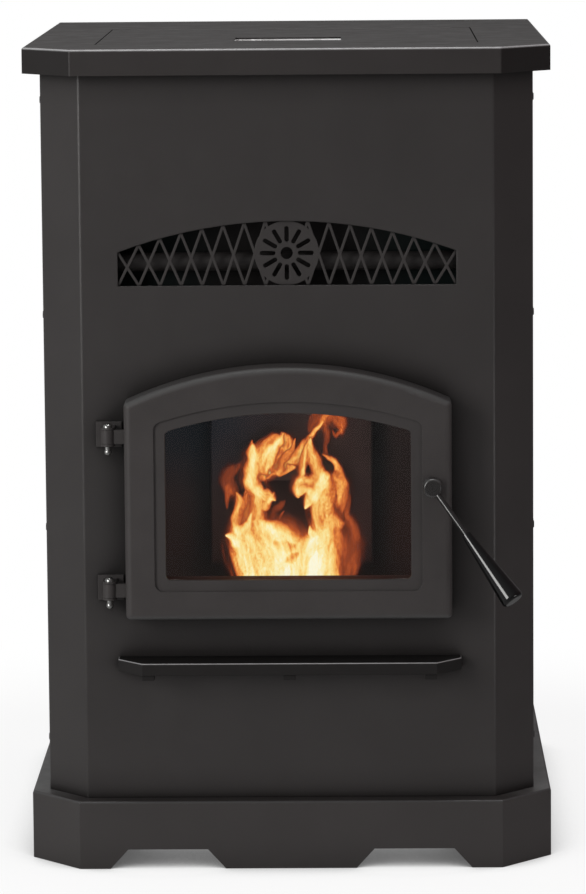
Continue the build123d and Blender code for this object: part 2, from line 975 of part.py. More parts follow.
# Burn pot stand: hollow box that takes in the combustion air and holds the pot.
stand_top = floor_top + stand_height
with BuildPart() as burn_pot_stand:
    block((-stand_left, stand_right), (at(stand_front), rear_inside), (floor_top, stand_top))
    block(
        (-stand_left + pot_wall, stand_right - pot_wall),
        (at(stand_front) + pot_wall, rear_inside),
        (floor_top, stand_top - pot_wall),
        mode=Mode.SUBTRACT,
    )
    block(
        sides(pot_length / 2 + seat_gap),
        (at(pot_centre - pot_depth / 2) - seat_gap, at(pot_centre + pot_depth / 2) + seat_gap),
        (stand_top - pot_wall, stand_top),
        mode=Mode.SUBTRACT,
    )
save(burn_pot_stand, "burn_pot_stand")

# Burn pot: cast cup with a rim that rests on the stand, and rows of air holes.
pot_bottom = stand_top - pot_drop
with BuildPart() as burn_pot:
    block(
        sides(pot_length / 2),
        (at(pot_centre - pot_depth / 2), at(pot_centre + pot_depth / 2)),
        (pot_bottom, pot_top),
    )
    block(
        sides(pot_length / 2 + pot_rim),
        (at(pot_centre - pot_depth / 2) - pot_rim, at(pot_centre + pot_depth / 2)),
        (stand_top, stand_top + pot_rim_thickness),
    )
    block(
        sides(pot_length / 2 - pot_wall),
        (at(pot_centre - pot_depth / 2) + pot_wall, at(pot_centre + pot_depth / 2) - pot_wall),
        (pot_bottom + pot_wall, pot_top),
        mode=Mode.SUBTRACT,
    )
    with BuildSketch(Plane.XY.offset(pot_bottom)):
        with Locations((0, at(pot_centre))):
            with GridLocations(pot_hole_pitch, pot_hole_pitch, pot_hole_columns, pot_hole_rows):
                Circle(pot_hole_radius)
    extrude(amount=pot_wall, mode=Mode.SUBTRACT)
    with Locations((0, at(pot_centre + pot_depth / 2), igniter_height)):
        Cylinder(
            igniter_radius + seat_gap,
            plate_drill,
            rotation=(90, 0, 0),
            mode=Mode.SUBTRACT,
        )
save(burn_pot, "burn_pot")

# Igniter: rod cartridge from behind the firebox into the pot's rear wall.
with BuildPart() as igniter:
    with BuildSketch(upright(pot_centre + pot_depth / 2 - pot_wall)):
        with Locations((0, igniter_height)):
            Circle(igniter_radius)
    extrude(amount=-(firebox_back + igniter_tail - pot_centre - pot_depth / 2 + pot_wall))
save(igniter, "igniter")

# Ash pan: open tray on the firebox floor, in front of the pot's stand.
with BuildPart() as ash_pan:
    block(sides(pan_half), (at(pan_front), at(pan_back)), (floor_top, floor_top + pan_height))
    fillet(ash_pan.edges().filter_by(Axis.Z), pan_corner_radius)
    with BuildSketch(Plane.XY.offset(floor_top + pan_height)):
        add(ash_pan.faces().sort_by(Axis.Z)[-1])
        offset(amount=-pan_wall, mode=Mode.REPLACE)
    extrude(amount=pan_wall - pan_height, mode=Mode.SUBTRACT)
save(ash_pan, "ash_pan")

# ================================================================ fuel feed
# Hopper tray: the mouth under the lid, with a ledge for the lid's seal and a rim up to the cap.
mouth_front = at(hopper_mouth_front)
mouth_back = at(hopper_mouth_back)


def plan_corners(half, front, back):
    """Corners in plan of a rectangle that is symmetrical about the middle, going round."""
    return [(-half, front), (half, front), (half, back), (-half, back)]


def mitred_wall(side, rings):
    """One side of a four-sided sheet funnel. Each ring gives a height, outer and inner corners."""
    following = (side + 1) % 4
    with BuildPart(mode=Mode.PRIVATE) as wall:
        for height, outer, inner in rings:
            with BuildSketch(Plane.XY.offset(height)):
                with BuildLine():
                    Polyline(
                        outer[side], outer[following], inner[following], inner[side], close=True
                    )
                make_face()
        loft(ruled=True)
    return wall


def mitred_walls(rings):
    """The four sides of a sheet funnel or box, as separate sheets that meet at its corners."""
    return [mitred_wall(side, rings) for side in range(4)]


with BuildPart() as hopper_tray:
    block(sides(hopper_mouth_half), (mouth_front, mouth_back), (hopper_shoulder, hopper_ledge))
    block(
        sides(hopper_ring_half),
        (at(hopper_ring_front), at(hopper_ring_back)),
        (hopper_ledge, cap_underside),
    )
    block(
        sides(hopper_ring_half - sheet),
        (at(hopper_ring_front) + sheet, at(hopper_ring_back) - sheet),
        (hopper_ledge + sheet, cap_underside),
        mode=Mode.SUBTRACT,
    )
    block(
        sides(hopper_mouth_half - sheet),
        (mouth_front + sheet, mouth_back - sheet),
        (hopper_shoulder, cap_underside),
        mode=Mode.SUBTRACT,
    )
save(hopper_tray, "hopper_tray")

# Hopper: sloping walls from the tray's mouth down to a neck that meets the auger tube.
mouth_ring = (
    hopper_shoulder,
    plan_corners(hopper_mouth_half, mouth_front, mouth_back),
    plan_corners(hopper_mouth_half - sheet, mouth_front + sheet, mouth_back - sheet),
)
neck_outer = plan_corners(neck_half, at(neck_front), at(neck_back))
neck_inner = plan_corners(neck_half - sheet, at(neck_front) + sheet, at(neck_back) - sheet)
neck_ring = (hopper_neck_top, neck_outer, neck_inner)
neck_walls = mitred_walls([neck_ring, (auger_height - neck_reach, neck_outer, neck_inner)])
with BuildPart() as auger_saddle:
    with BuildSketch(auger_plane):
        Circle(auger_tube_radius + seat_gap)
        Rectangle(4 * neck_half, 4 * auger_tube_radius, align=(Align.CENTER, Align.MIN))
    extrude(amount=auger_length + gearbox_length)
for wall in neck_walls:
    with wall:
        add(auger_saddle.part, mode=Mode.SUBTRACT)
save_sheets([*mitred_walls([mouth_ring, neck_ring]), *neck_walls], "hopper")

slot_start, slot_end = [
    (depth - auger_depth - auger_tube_radius * sin(deg_auger)) / cos(deg_auger)
    for depth in (neck_front + sheet, neck_back - sheet)
]
flight_middle = (screw_radius + screw_shaft_radius - flight_root) / 2
flight_start = auger_plane.from_local_coords((0, 0, flight_margin))

# Auger tube: sloping pipe with a closed, bushed head, a feed slot above and a drop slot below.
with BuildPart() as auger_tube:
    with BuildSketch(auger_plane.offset(-auger_head)):
        Circle(auger_tube_radius)
    extrude(amount=auger_head + auger_length)
    with BuildSketch(auger_plane.offset(-auger_head)):
        Circle(screw_shaft_radius + running_gap)
    extrude(amount=auger_head + auger_length, mode=Mode.SUBTRACT)
    with BuildSketch(auger_plane.offset(auger_cap - auger_head)):
        Circle(auger_tube_radius - auger_wall)
    extrude(amount=auger_head + auger_length - auger_cap, mode=Mode.SUBTRACT)
    with BuildSketch(auger_plane.offset(slot_start)):
        Rectangle(
            2 * (neck_half - sheet),
            2 * auger_tube_radius,
            align=(Align.CENTER, Align.MAX),
        )
    extrude(amount=slot_end - slot_start, mode=Mode.SUBTRACT)
    chute_box(-chute_sheet, mode=Mode.SUBTRACT)
save(auger_tube, "auger_tube")

# Auger screw: one helical flight on a shaft that runs from the head's bush to the gearbox.
with BuildPart() as auger_screw:
    with BuildSketch(auger_plane.offset(-auger_head)):
        Circle(screw_shaft_radius)
    extrude(amount=auger_head + auger_length + screw_seat - face_gap)
    with BuildLine() as flight_path:
        Helix(
            screw_pitch,
            auger_length - flight_margin - flight_end_margin,
            flight_middle,
            center=flight_start,
            direction=auger_plane.z_dir,
        )
    with BuildSketch(
        Plane(
            origin=flight_path.line @ 0,
            x_dir=flight_path.line @ 0 - flight_start,
            z_dir=flight_path.line % 0,
        )
    ):
        Rectangle(screw_radius - screw_shaft_radius + flight_root, flight_thickness)
    sweep(path=flight_path.line, is_frenet=True)
save(auger_screw, "auger_screw")

# Gearbox on the tube's low end, with the motor behind it.
with BuildPart() as auger_gearbox:
    with BuildSketch(auger_plane.offset(auger_length)):
        RectangleRounded(gearbox_size, gearbox_size, gearbox_corner)
    extrude(amount=gearbox_length)
    with BuildSketch(auger_plane.offset(auger_length)):
        Circle(screw_shaft_radius + running_gap)
    extrude(amount=screw_seat, mode=Mode.SUBTRACT)
save(auger_gearbox, "auger_gearbox")

with BuildPart() as auger_motor:
    with BuildSketch(auger_plane.offset(auger_length + gearbox_length)):
        Circle(gear_motor_radius)
    extrude(amount=gear_motor_length)
    fillet(
        auger_motor.edges().filter_by(GeomType.CIRCLE).sort_by(Axis.Z)[0],
        motor_edge_radius,
    )
save(auger_motor, "auger_motor")

# Pellet chute: drops the pellets from the auger's head into the burn pot.
with BuildPart() as pellet_chute:
    chute_box(0)
    chute_box(-chute_sheet, mode=Mode.SUBTRACT)
    chute_box(0, mode=Mode.INTERSECT)
    block(
        sides(2 * chute_half),
        (at(chute_mouth) - chute_length, at(chute_mouth)),
        (0, auger_height),
        mode=Mode.SUBTRACT,
    )
    with BuildSketch(auger_plane.offset(-chute_length)):
        Circle(auger_tube_radius + seat_gap)
    extrude(amount=2 * chute_length, mode=Mode.SUBTRACT)
    split(bisect_by=Plane(origin=chute_top, z_dir=chute_run), keep=Keep.TOP)
save(pellet_chute, "pellet_chute")

# ================================================================ blowers and pipes
def scroll_profile(depth, height, radius, exit_depth, exit_low, exit_high):
    """Side view of a blower's casing: a round body with a straight outlet."""
    with BuildSketch(mode=Mode.PRIVATE) as profile:
        with Locations((at(depth), height)):
            Circle(radius)
        with Locations((at((depth + exit_depth) / 2), (exit_low + exit_high) / 2)):
            Rectangle(abs(exit_depth - depth), exit_high - exit_low)
    return profile.sketch


# Exhaust blower: casing on the side duct, outlet to the flue collar at the rear.
exhaust_right = exhaust_left + exhaust_width
exhaust_low = exhaust_height - scroll_radius
with BuildPart() as exhaust_housing:
    with BuildSketch(Plane.YZ.offset(exhaust_left)):
        add(
            scroll_profile(
                exhaust_depth,
                exhaust_height,
                scroll_radius,
                scroll_exit,
                exhaust_low,
                exhaust_low + 2 * flue_radius,
            )
        )
    extrude(amount=exhaust_width)
    with BuildSketch(Plane.YZ.offset(exhaust_left + scroll_wall)):
        add(
            scroll_profile(
                exhaust_depth,
                exhaust_height,
                scroll_radius - scroll_wall,
                scroll_exit,
                exhaust_low + scroll_wall,
                exhaust_low + 2 * flue_radius - scroll_wall,
            )
        )
    extrude(amount=exhaust_width - 2 * scroll_wall, mode=Mode.SUBTRACT)
    block(
        (exhaust_left - flange_margin, exhaust_right + flange_margin),
        (at(scroll_exit), at(scroll_exit) + flange_thickness),
        (exhaust_low - flange_margin, exhaust_low + 2 * flue_radius + flange_margin),
    )
    with BuildSketch(upright(scroll_exit)):
        with Locations((flue_x, flue_z)):
            Circle(flue_radius - flue_wall)
    extrude(amount=-flange_thickness, mode=Mode.SUBTRACT)
    with BuildSketch(Plane.YZ.offset(exhaust_left)):
        with Locations((at(exhaust_depth), exhaust_height)):
            Circle(inlet_radius)
    extrude(amount=scroll_wall, mode=Mode.SUBTRACT)
    with BuildSketch(Plane.YZ.offset(exhaust_right)):
        with Locations((at(exhaust_depth), exhaust_height)):
            Circle(motor_shaft_radius + shaft_hole_gap)
    extrude(amount=-scroll_wall, mode=Mode.SUBTRACT)
save(exhaust_housing, "exhaust_housing")


def fan_motor(casing_x, side, depth, height):
    """Round motor on a blower's casing, with a bore for the fan's shaft."""
    with BuildPart() as motor:
        with BuildSketch(Plane.YZ.offset(casing_x)):
            with Locations((at(depth), height)):
                Circle(motor_radius)
                Circle(motor_shaft_radius + running_gap, mode=Mode.SUBTRACT)
        extrude(amount=side * motor_length)
        near_to_far = motor.faces().sort_by(Axis.X, reverse=side < 0)
        fillet(near_to_far[-1].outer_wire().edges(), motor_edge_radius)
    return motor


exhaust_motor = fan_motor(exhaust_right, 1, exhaust_depth, exhaust_height)
save(exhaust_motor, "exhaust_motor")

# Exhaust impeller: straight paddles on a back plate, with its shaft in the motor.
impeller_left = exhaust_right - scroll_wall - impeller_side_gap - impeller_width
with BuildPart() as exhaust_impeller:
    with BuildSketch(Plane.YZ.offset(impeller_left)):
        with Locations((at(exhaust_depth), exhaust_height)):
            Circle(hub_core_radius)
            with PolarLocations((hub_core_radius + impeller_radius) / 2 - blade_thickness, impeller_blades):
                Rectangle(impeller_radius - hub_core_radius, blade_thickness)
    extrude(amount=impeller_width)
    with BuildSketch(Plane.YZ.offset(impeller_left + impeller_width)):
        with Locations((at(exhaust_depth), exhaust_height)):
            Circle(impeller_radius)
    extrude(amount=-blade_thickness)
    with BuildSketch(Plane.YZ.offset(impeller_left + impeller_width)):
        with Locations((at(exhaust_depth), exhaust_height)):
            Circle(motor_shaft_radius)
    extrude(amount=exhaust_right + shaft_grip - impeller_left - impeller_width)
save(exhaust_impeller, "exhaust_impeller")

# Flue collar: pipe stub on the exhaust outlet, through the rear panel.
with BuildPart() as flue_collar:
    with BuildSketch(upright(scroll_exit + flange_thickness)):
        with Locations((flue_x, flue_z)):
            Circle(flue_radius)
    extrude(amount=-(body_depth + flue_reach - scroll_exit - flange_thickness))
    with BuildSketch(upright(body_depth + bead_start)):
        with Locations((flue_x, flue_z)):
            Circle(flue_radius + bead_height)
    extrude(amount=-bead_width)
    with BuildSketch(upright(scroll_exit + flange_thickness)):
        with Locations((flue_x, flue_z)):
            Circle(flue_radius - flue_wall)
    extrude(
        amount=-(body_depth + flue_reach - scroll_exit - flange_thickness),
        mode=Mode.SUBTRACT,
    )
save(flue_collar, "flue_collar")

# Combustion air pipe from outside the rear panel to the burn pot's stand.
with BuildPart() as air_intake_pipe:
    with BuildSketch(upright(firebox_back - plate)):
        with Locations((intake_x, intake_height)):
            Circle(intake_radius)
    extrude(amount=-(body_depth + intake_reach - firebox_back + plate))
    with BuildSketch(upright(body_depth + bead_start)):
        with Locations((intake_x, intake_height)):
            Circle(intake_radius + bead_height)
    extrude(amount=-bead_width)
    with BuildSketch(upright(firebox_back - plate)):
        with Locations((intake_x, intake_height)):
            Circle(intake_radius - intake_wall)
    extrude(amount=-(body_depth + intake_reach - firebox_back + plate), mode=Mode.SUBTRACT)
save(air_intake_pipe, "air_intake_pipe")

# Convection blower: casing behind the air jacket, motor on its outer side.
with BuildPart() as convection_housing:
    with BuildSketch(Plane.YZ.offset(convection_left)):
        add(
            scroll_profile(
                convection_depth,
                convection_height,
                scroll_radius,
                firebox_back + jacket_depth,
                convection_top - convection_exit_height,
                convection_top,
            )
        )
    extrude(amount=convection_width)
    with BuildSketch(Plane.YZ.offset(convection_left + scroll_wall)):
        add(
            scroll_profile(
                convection_depth,
                convection_height,
                scroll_radius - scroll_wall,
                firebox_back + jacket_depth,
                convection_top - convection_exit_height + scroll_wall,
                convection_top - scroll_wall,
            )
        )
    extrude(amount=convection_width - 2 * scroll_wall, mode=Mode.SUBTRACT)
    with BuildSketch(Plane.YZ.offset(convection_right)):
        with Locations((at(convection_depth), convection_height)):
            Circle(convection_inlet_radius)
    extrude(amount=-scroll_wall, mode=Mode.SUBTRACT)
    with BuildSketch(Plane.YZ.offset(convection_left)):
        with Locations((at(convection_depth), convection_height)):
            Circle(motor_shaft_radius + shaft_hole_gap)
    extrude(amount=scroll_wall, mode=Mode.SUBTRACT)
save(convection_housing, "convection_housing")

convection_motor = fan_motor(convection_left, -1, convection_depth, convection_height)
save(convection_motor, "convection_motor")

# Convection wheel: drum of forward blades between a back plate and a front ring.
wheel_left = convection_left + scroll_wall + impeller_side_gap
with BuildPart() as convection_wheel:
    with BuildSketch(Plane.YZ.offset(wheel_left)):
        with Locations((at(convection_depth), convection_height)):
            with PolarLocations(wheel_radius - blade_depth / 2 - wheel_rim, wheel_blades):
                Rectangle(blade_depth, blade_thickness)
            Circle(wheel_radius)
            Circle(wheel_radius - blade_depth, mode=Mode.SUBTRACT)
    extrude(amount=wheel_rim)
    with BuildSketch(Plane.YZ.offset(wheel_left)):
        with Locations((at(convection_depth), convection_height)):
            with PolarLocations(wheel_radius - blade_depth / 2, wheel_blades):
                Rectangle(blade_depth, blade_thickness)
    extrude(amount=wheel_width - wheel_rim)
    with BuildSketch(Plane.YZ.offset(wheel_left)):
        with Locations((at(convection_depth), convection_height)):
            Circle(wheel_radius)
    extrude(amount=wheel_rim)
    with BuildSketch(Plane.YZ.offset(wheel_left + wheel_width)):
        with Locations((at(convection_depth), convection_height)):
            Circle(wheel_radius)
            Circle(wheel_radius - blade_depth, mode=Mode.SUBTRACT)
    extrude(amount=-wheel_rim)
    with BuildSketch(Plane.YZ.offset(wheel_left)):
        with Locations((at(convection_depth), convection_height)):
            Circle(motor_shaft_radius)
    extrude(amount=convection_left - shaft_grip - wheel_left)
save(convection_wheel, "convection_wheel")

# ================================================================ lid
# Hopper lid: folded plate with a cut-out for the recessed pull.
with BuildPart() as hopper_lid:
    block(sides(lid_half), (at(lid_front), at(lid_back)), (cap_underside - lid_flange, stove_height))
    block(
        sides(lid_half - sheet),
        (at(lid_front) + sheet, at(lid_back)),
        (cap_underside - lid_flange, cap_underside),
        mode=Mode.SUBTRACT,
    )
    block(
        sides(pull_half),
        (at(pull_front), at(pull_back)),
        (cap_underside, stove_height),
        mode=Mode.SUBTRACT,
    )
save(hopper_lid, "hopper_lid")

# Lid pull: recessed steel cup under the cut-out, with a flange below the lid's plate.
with BuildPart() as lid_pull:
    block(
        sides(pull_half + pull_sheet),
        (at(pull_front) - pull_sheet, at(pull_back) + pull_sheet),
        (cap_underside - pull_drop, cap_underside),
    )
    block(
        sides(pull_half + pull_flange),
        (at(pull_front) - pull_flange, at(pull_back) + pull_flange),
        (cap_underside - pull_sheet, cap_underside),
    )
    block(
        sides(pull_half),
        (at(pull_front), at(pull_back)),
        (cap_underside - pull_drop + pull_sheet, cap_underside),
        mode=Mode.SUBTRACT,
    )
save(lid_pull, "lid_pull")

# Lid gasket: soft ring on the lid's underside that seals on the hopper's ledge.
with BuildPart() as lid_gasket:
    block(
        sides(hopper_mouth_half + seal_offset + seal_width),
        (mouth_front - seal_offset - seal_width, mouth_back + seal_offset + seal_width),
        (hopper_ledge + sheet + seal_gap, cap_underside),
    )
    block(
        sides(hopper_mouth_half + seal_offset),
        (mouth_front - seal_offset, mouth_back + seal_offset),
        (hopper_ledge + sheet + seal_gap, cap_underside),
        mode=Mode.SUBTRACT,
    )
save(lid_gasket, "lid_gasket")

# Lid hinge: knuckles that alternate between the cap's leaf and the lid's leaf.
knuckle_pitch = 2 * lid_hinge_half / lid_knuckles
leaf_low = cap_underside - lid_leaf_thickness


def hinge_leaf(direction, turn):
    """One leaf of the lid's hinge, with every second knuckle on the axis."""
    near = lid_hinge_radius + lid_hinge_clear
    block(
        sides(lid_hinge_half),
        sorted((lid_axis_y + direction * near, lid_axis_y + direction * (near + lid_leaf))),
        (leaf_low, cap_underside),
    )
    for number in range(turn, lid_knuckles, 2):
        left = -lid_hinge_half + number * knuckle_pitch + lid_knuckle_gap / 2
        right = left + knuckle_pitch - lid_knuckle_gap
        block(
            (left, right),
            sorted((lid_axis_y, lid_axis_y + direction * near)),
            (leaf_low, cap_underside),
        )
        with Locations(((left + right) / 2, lid_axis_y, lid_axis_z)):
            Cylinder(lid_hinge_radius, right - left, rotation=(0, 90, 0))


with BuildPart() as lid_hinge_fixed:
    hinge_leaf(1, 0)
    with Locations((0, lid_axis_y, lid_axis_z)):
        Cylinder(lid_pin_radius, 2 * lid_hinge_half, rotation=(0, 90, 0))
save(lid_hinge_fixed, "lid_hinge_fixed")

with BuildPart() as lid_hinge_moving:
    hinge_leaf(-1, 1)
    with Locations((0, lid_axis_y, lid_axis_z)):
        Cylinder(
            lid_pin_radius + running_gap,
            2 * lid_hinge_half,
            rotation=(0, 90, 0),
            mode=Mode.SUBTRACT,
        )
save(lid_hinge_moving, "lid_hinge_moving")

# ================================================================ door
hinge_levels = (hinge_height, hinge_height - hinge_spacing)
ear_offset = hinge_barrel_height / 2 + face_gap
glass_front = glass_tape - door_front + door_skin

# Door frame: dished casting with a stepped window and a channel for the rope at its back.
with BuildPart() as door_frame:
    with BuildSketch(upright(-door_front)) as door_outline:
        add(door_face(0))
        fillet(door_outline.vertices(), door_corner_radius)
    extrude(amount=door_back_gap - door_front)
    fillet(door_frame.faces().sort_by(Axis.Y)[0].edges(), door_edge_radius)
    with BuildSketch(upright(door_skin - door_front)):
        add(door_face(door_wall))
    extrude(amount=door_back_gap + door_skin - door_front, mode=Mode.SUBTRACT)
    with BuildSketch(upright(door_skin - door_front)):
        add(door_face(channel_inset))
        add(door_face(channel_inset + channel_width), mode=Mode.SUBTRACT)
    extrude(amount=channel_end + door_skin - door_front)
    with BuildSketch(upright(-channel_end)):
        add(door_face(channel_inset + (channel_width - rope_width) / 2))
        add(door_face(channel_inset + (channel_width + rope_width) / 2), mode=Mode.SUBTRACT)
    extrude(amount=rope_depth, mode=Mode.SUBTRACT)
    with BuildSketch(upright(-door_front)) as recess_outline:
        add(window_face(recess_width))
        fillet(recess_outline.vertices(), recess_radius)
    extrude(amount=-recess_depth, mode=Mode.SUBTRACT)
    with BuildSketch(upright(-door_front)) as window_outline:
        add(window_face(0))
        fillet(window_outline.vertices(), window_radius)
    extrude(amount=-door_skin, mode=Mode.SUBTRACT)
    for z in hinge_levels:
        with Locations((hinge_x, hinge_y, z)):
            Cylinder(hinge_barrel_radius, hinge_barrel_height)
        block(
            (hinge_x, door_wall / 2 - door_half),
            (hinge_y - hinge_arm / 2, hinge_y + hinge_arm / 2),
            (z - hinge_barrel_height / 2, z + hinge_barrel_height / 2),
        )
        with Locations((hinge_x, hinge_y, z)):
            Cylinder(
                hinge_pin_radius + running_gap, hinge_barrel_height, mode=Mode.SUBTRACT
            )
    with BuildSketch(upright(-door_front)):
        with Locations((latch_x, latch_z)):
            Circle(shaft_radius + running_gap)
    extrude(amount=-door_skin, mode=Mode.SUBTRACT)
save(door_frame, "door_frame")

# Door glass, the tape it lies on, and the clips and screws that hold it.
with BuildPart() as door_glass:
    with BuildSketch(upright(glass_front)):
        add(window_face(glass_lap))
    extrude(amount=-glass_thickness)
save(door_glass, "door_glass")

with BuildPart() as glass_gasket:
    with BuildSketch(upright(door_skin - door_front)):
        add(window_face(glass_lap))
        add(window_face(tape_inset), mode=Mode.SUBTRACT)
    extrude(amount=-glass_tape)
save(glass_gasket, "glass_gasket")

glass_back = glass_front + glass_thickness
clip_screw_x = window_half + glass_lap + glass_edge_gap
clip_middle = (window_bottom + window_side_top) / 2
clip_spots = [
    (side, clip_middle + level * clip_rise) for side in (-1, 1) for level in (-1, 1)
]
with BuildPart() as glass_clips:
    for side, z in clip_spots:
        block(
            sorted((side * (clip_screw_x - clip_length), side * (clip_screw_x + clip_screw_radius))),
            (at(glass_back), at(glass_back) + clip_thickness),
            (z - clip_width / 2, z + clip_width / 2),
        )
        with Locations((side * clip_screw_x, at(glass_back), z)):
            Cylinder(
                clip_screw_radius + seat_gap,
                sheet_drill,
                rotation=(90, 0, 0),
                mode=Mode.SUBTRACT,
            )
    for side, z in clip_spots:
        with BuildSketch(upright(glass_back + clip_thickness)):
            with Locations((side * clip_screw_x, z)):
                Circle(clip_head_radius)
        extrude(amount=-clip_head_height)
        with BuildSketch(upright(door_skin - door_front)):
            with Locations((side * clip_screw_x, z)):
                Circle(clip_screw_radius)
        extrude(amount=-(glass_back + clip_thickness - door_skin + door_front))
save(glass_clips, "glass_clips")

# Door rope: seal in the channel that meets the firebox's collar.
with BuildPart() as door_rope:
    with BuildSketch(upright(-collar_front - rope_gap)):
        add(door_face(channel_inset + (channel_width - rope_width) / 2 + seat_gap))
        add(
            door_face(channel_inset + (channel_width + rope_width) / 2 - seat_gap),
            mode=Mode.SUBTRACT,
        )
    extrude(amount=channel_end + rope_depth - collar_front - rope_gap)
save(door_rope, "door_rope")

# Hinge brackets on the front panel: a plate with two ears at each hinge.
with BuildPart() as door_hinge_brackets:
    for z in hinge_levels:
        reach = ear_offset + hinge_ear + hinge_plate_margin
        block(
            (hinge_x - hinge_plate_width / 2, hinge_x + hinge_plate_width / 2),
            (at(-hinge_plate), at(0)),
            (z - reach, z + reach),
        )
        for low in (z - ear_offset - hinge_ear, z + ear_offset):
            block(
                (hinge_x - hinge_barrel_radius, hinge_x + hinge_barrel_radius),
                (hinge_y, at(-hinge_plate)),
                (low, low + hinge_ear),
            )
            with BuildSketch(Plane.XY.offset(low)):
                with Locations((hinge_x, hinge_y)):
                    Circle(hinge_barrel_radius)
            extrude(amount=hinge_ear)
            with BuildSketch(Plane.XY.offset(low)):
                with Locations((hinge_x, hinge_y)):
                    Circle(hinge_pin_radius + running_gap)
            extrude(amount=hinge_ear, mode=Mode.SUBTRACT)
save(door_hinge_brackets, "door_hinge_brackets")

# Hinge pins: shaft with a domed head above and a ball end below.
with BuildPart() as door_hinge_pins:
    for z in hinge_levels:
        top = z + ear_offset + hinge_ear
        ball_level = z - ear_offset - hinge_ear - hinge_ball_drop
        with BuildSketch(Plane.XY.offset(ball_level)):
            with Locations((hinge_x, hinge_y)):
                Circle(hinge_pin_radius)
        extrude(amount=top - ball_level)
        with BuildSketch(Plane.XY.offset(top)):
            with Locations((hinge_x, hinge_y)):
                Circle(hinge_head_radius)
        extrude(amount=hinge_head_height)
        rims = door_hinge_pins.edges().filter_by(GeomType.CIRCLE)
        fillet(
            rims.filter_by_position(Axis.Z, top + hinge_head_height / 2, top + 2 * hinge_head_height),
            hinge_head_height - hinge_head_rim,
        )
        with Locations((hinge_x, hinge_y, ball_level)):
            Sphere(hinge_ball_radius)
save(door_hinge_pins, "door_hinge_pins")

# Latch hub: round boss and shaft through the door, cross-drilled for the handle rod.
handle_run = Vector(
    cos(deg_drop) * cos(deg_lean),
    -sin(deg_lean),
    -sin(deg_drop) * cos(deg_lean),
)
handle_plane = Plane(
    origin=(latch_x, at(-hub_middle), latch_z),
    x_dir=(sin(deg_drop), 0, cos(deg_drop)),
    z_dir=handle_run,
)
shaft_end = nut_height + cam_thickness - cam_front + shaft_tail
with BuildPart() as latch_hub:
    with BuildSketch(upright(-door_front - hub_length)):
        with Locations((latch_x, latch_z)):
            Circle(hub_radius)
    extrude(amount=face_gap - hub_length)
    fillet(latch_hub.faces().sort_by(Axis.Y)[0].edges(), hub_edge_radius)
    with BuildSketch(upright(-door_front - face_gap)):
        with Locations((latch_x, latch_z)):
            Circle(shaft_radius)
    extrude(amount=-(door_front + face_gap + shaft_end))
    with BuildSketch(handle_plane):
        Circle(rod_radius + running_gap)
    extrude(amount=2 * hub_radius, mode=Mode.SUBTRACT)
save(latch_hub, "latch_hub")

# Latch cam: arm on the shaft's end that turns in behind the keeper's lip, and its nut.
with BuildPart() as latch_cam:
    with BuildSketch(upright(-cam_front)):
        with Locations((latch_x, latch_z)):
            Circle(cam_hub_radius)
            Rectangle(
                cam_reach,
                cam_width,
                rotation=cam_angle,
                align=(Align.MIN, Align.CENTER),
            )
            Circle(shaft_radius + seat_gap, mode=Mode.SUBTRACT)
    extrude(amount=-cam_thickness)
    with BuildSketch(upright(cam_thickness - cam_front)):
        with Locations((latch_x, latch_z)):
            RegularPolygon(nut_across / 2, 6, major_radius=False)
            Circle(shaft_radius + seat_gap, mode=Mode.SUBTRACT)
    extrude(amount=-nut_height)
save(latch_cam, "latch_cam")

# Latch keeper: hook on the front panel, below the shaft.
cam_corner = sqrt(cam_reach**2 + (cam_width / 2) ** 2)
keeper_top = latch_z - cam_corner - cam_sweep_gap
keeper_x = latch_x + keeper_shift
lip_back = cam_front + keeper_clear
with BuildPart() as latch_keeper:
    block(
        (keeper_x - keeper_width / 2, keeper_x + keeper_width / 2),
        (at(-lip_back - keeper_lip_thickness), at(0)),
        (keeper_top - keeper_post, keeper_top),
    )
    block(
        (keeper_x - keeper_width / 2, keeper_x + keeper_width / 2),
        (at(-lip_back - keeper_lip_thickness), at(-lip_back)),
        (keeper_top - keeper_post, keeper_top + keeper_lip),
    )
save(latch_keeper, "latch_keeper")

# Handle: steel rod into a long tapered knob.
with BuildPart() as handle_rod:
    with BuildSketch(handle_plane):
        Circle(rod_radius)
    extrude(amount=rod_length + knob_bore_depth)
save(handle_rod, "handle_rod")

with BuildPart() as handle_knob:
    with BuildSketch(handle_plane.offset(rod_length)):
        Circle(knob_neck_radius)
    with BuildSketch(handle_plane.offset(handle_span)):
        Circle(knob_end_radius)
    loft()
    fillet(
        handle_knob.edges().filter_by(GeomType.CIRCLE).sort_by(Axis.Z)[0],
        knob_fillet,
    )
    with BuildSketch(handle_plane.offset(rod_length)):
        Circle(rod_radius + running_gap)
    extrude(amount=knob_bore_depth, mode=Mode.SUBTRACT)
save(handle_knob, "handle_knob")

# ================================================================ controls
# Control panel on the right side: bezel, board behind it, heat dial and power button.
dial_z = panel_height + dial_offset
button_z = panel_height - button_offset
bezel_face = body_half + panel_thickness
board_x = body_half - sheet - board_inset
with BuildPart() as control_panel:
    with BuildSketch(Plane.YZ.offset(body_half)):
        with Locations((at(panel_depth), panel_height)):
            RectangleRounded(panel_width, panel_tall, panel_corner)
        with Locations((at(panel_depth), dial_z)):
            Circle(dial_shaft_radius + running_gap, mode=Mode.SUBTRACT)
        with Locations((at(panel_depth), button_z)):
            Circle(button_radius + button_gap, mode=Mode.SUBTRACT)
    extrude(amount=panel_thickness)
save(control_panel, "control_panel")

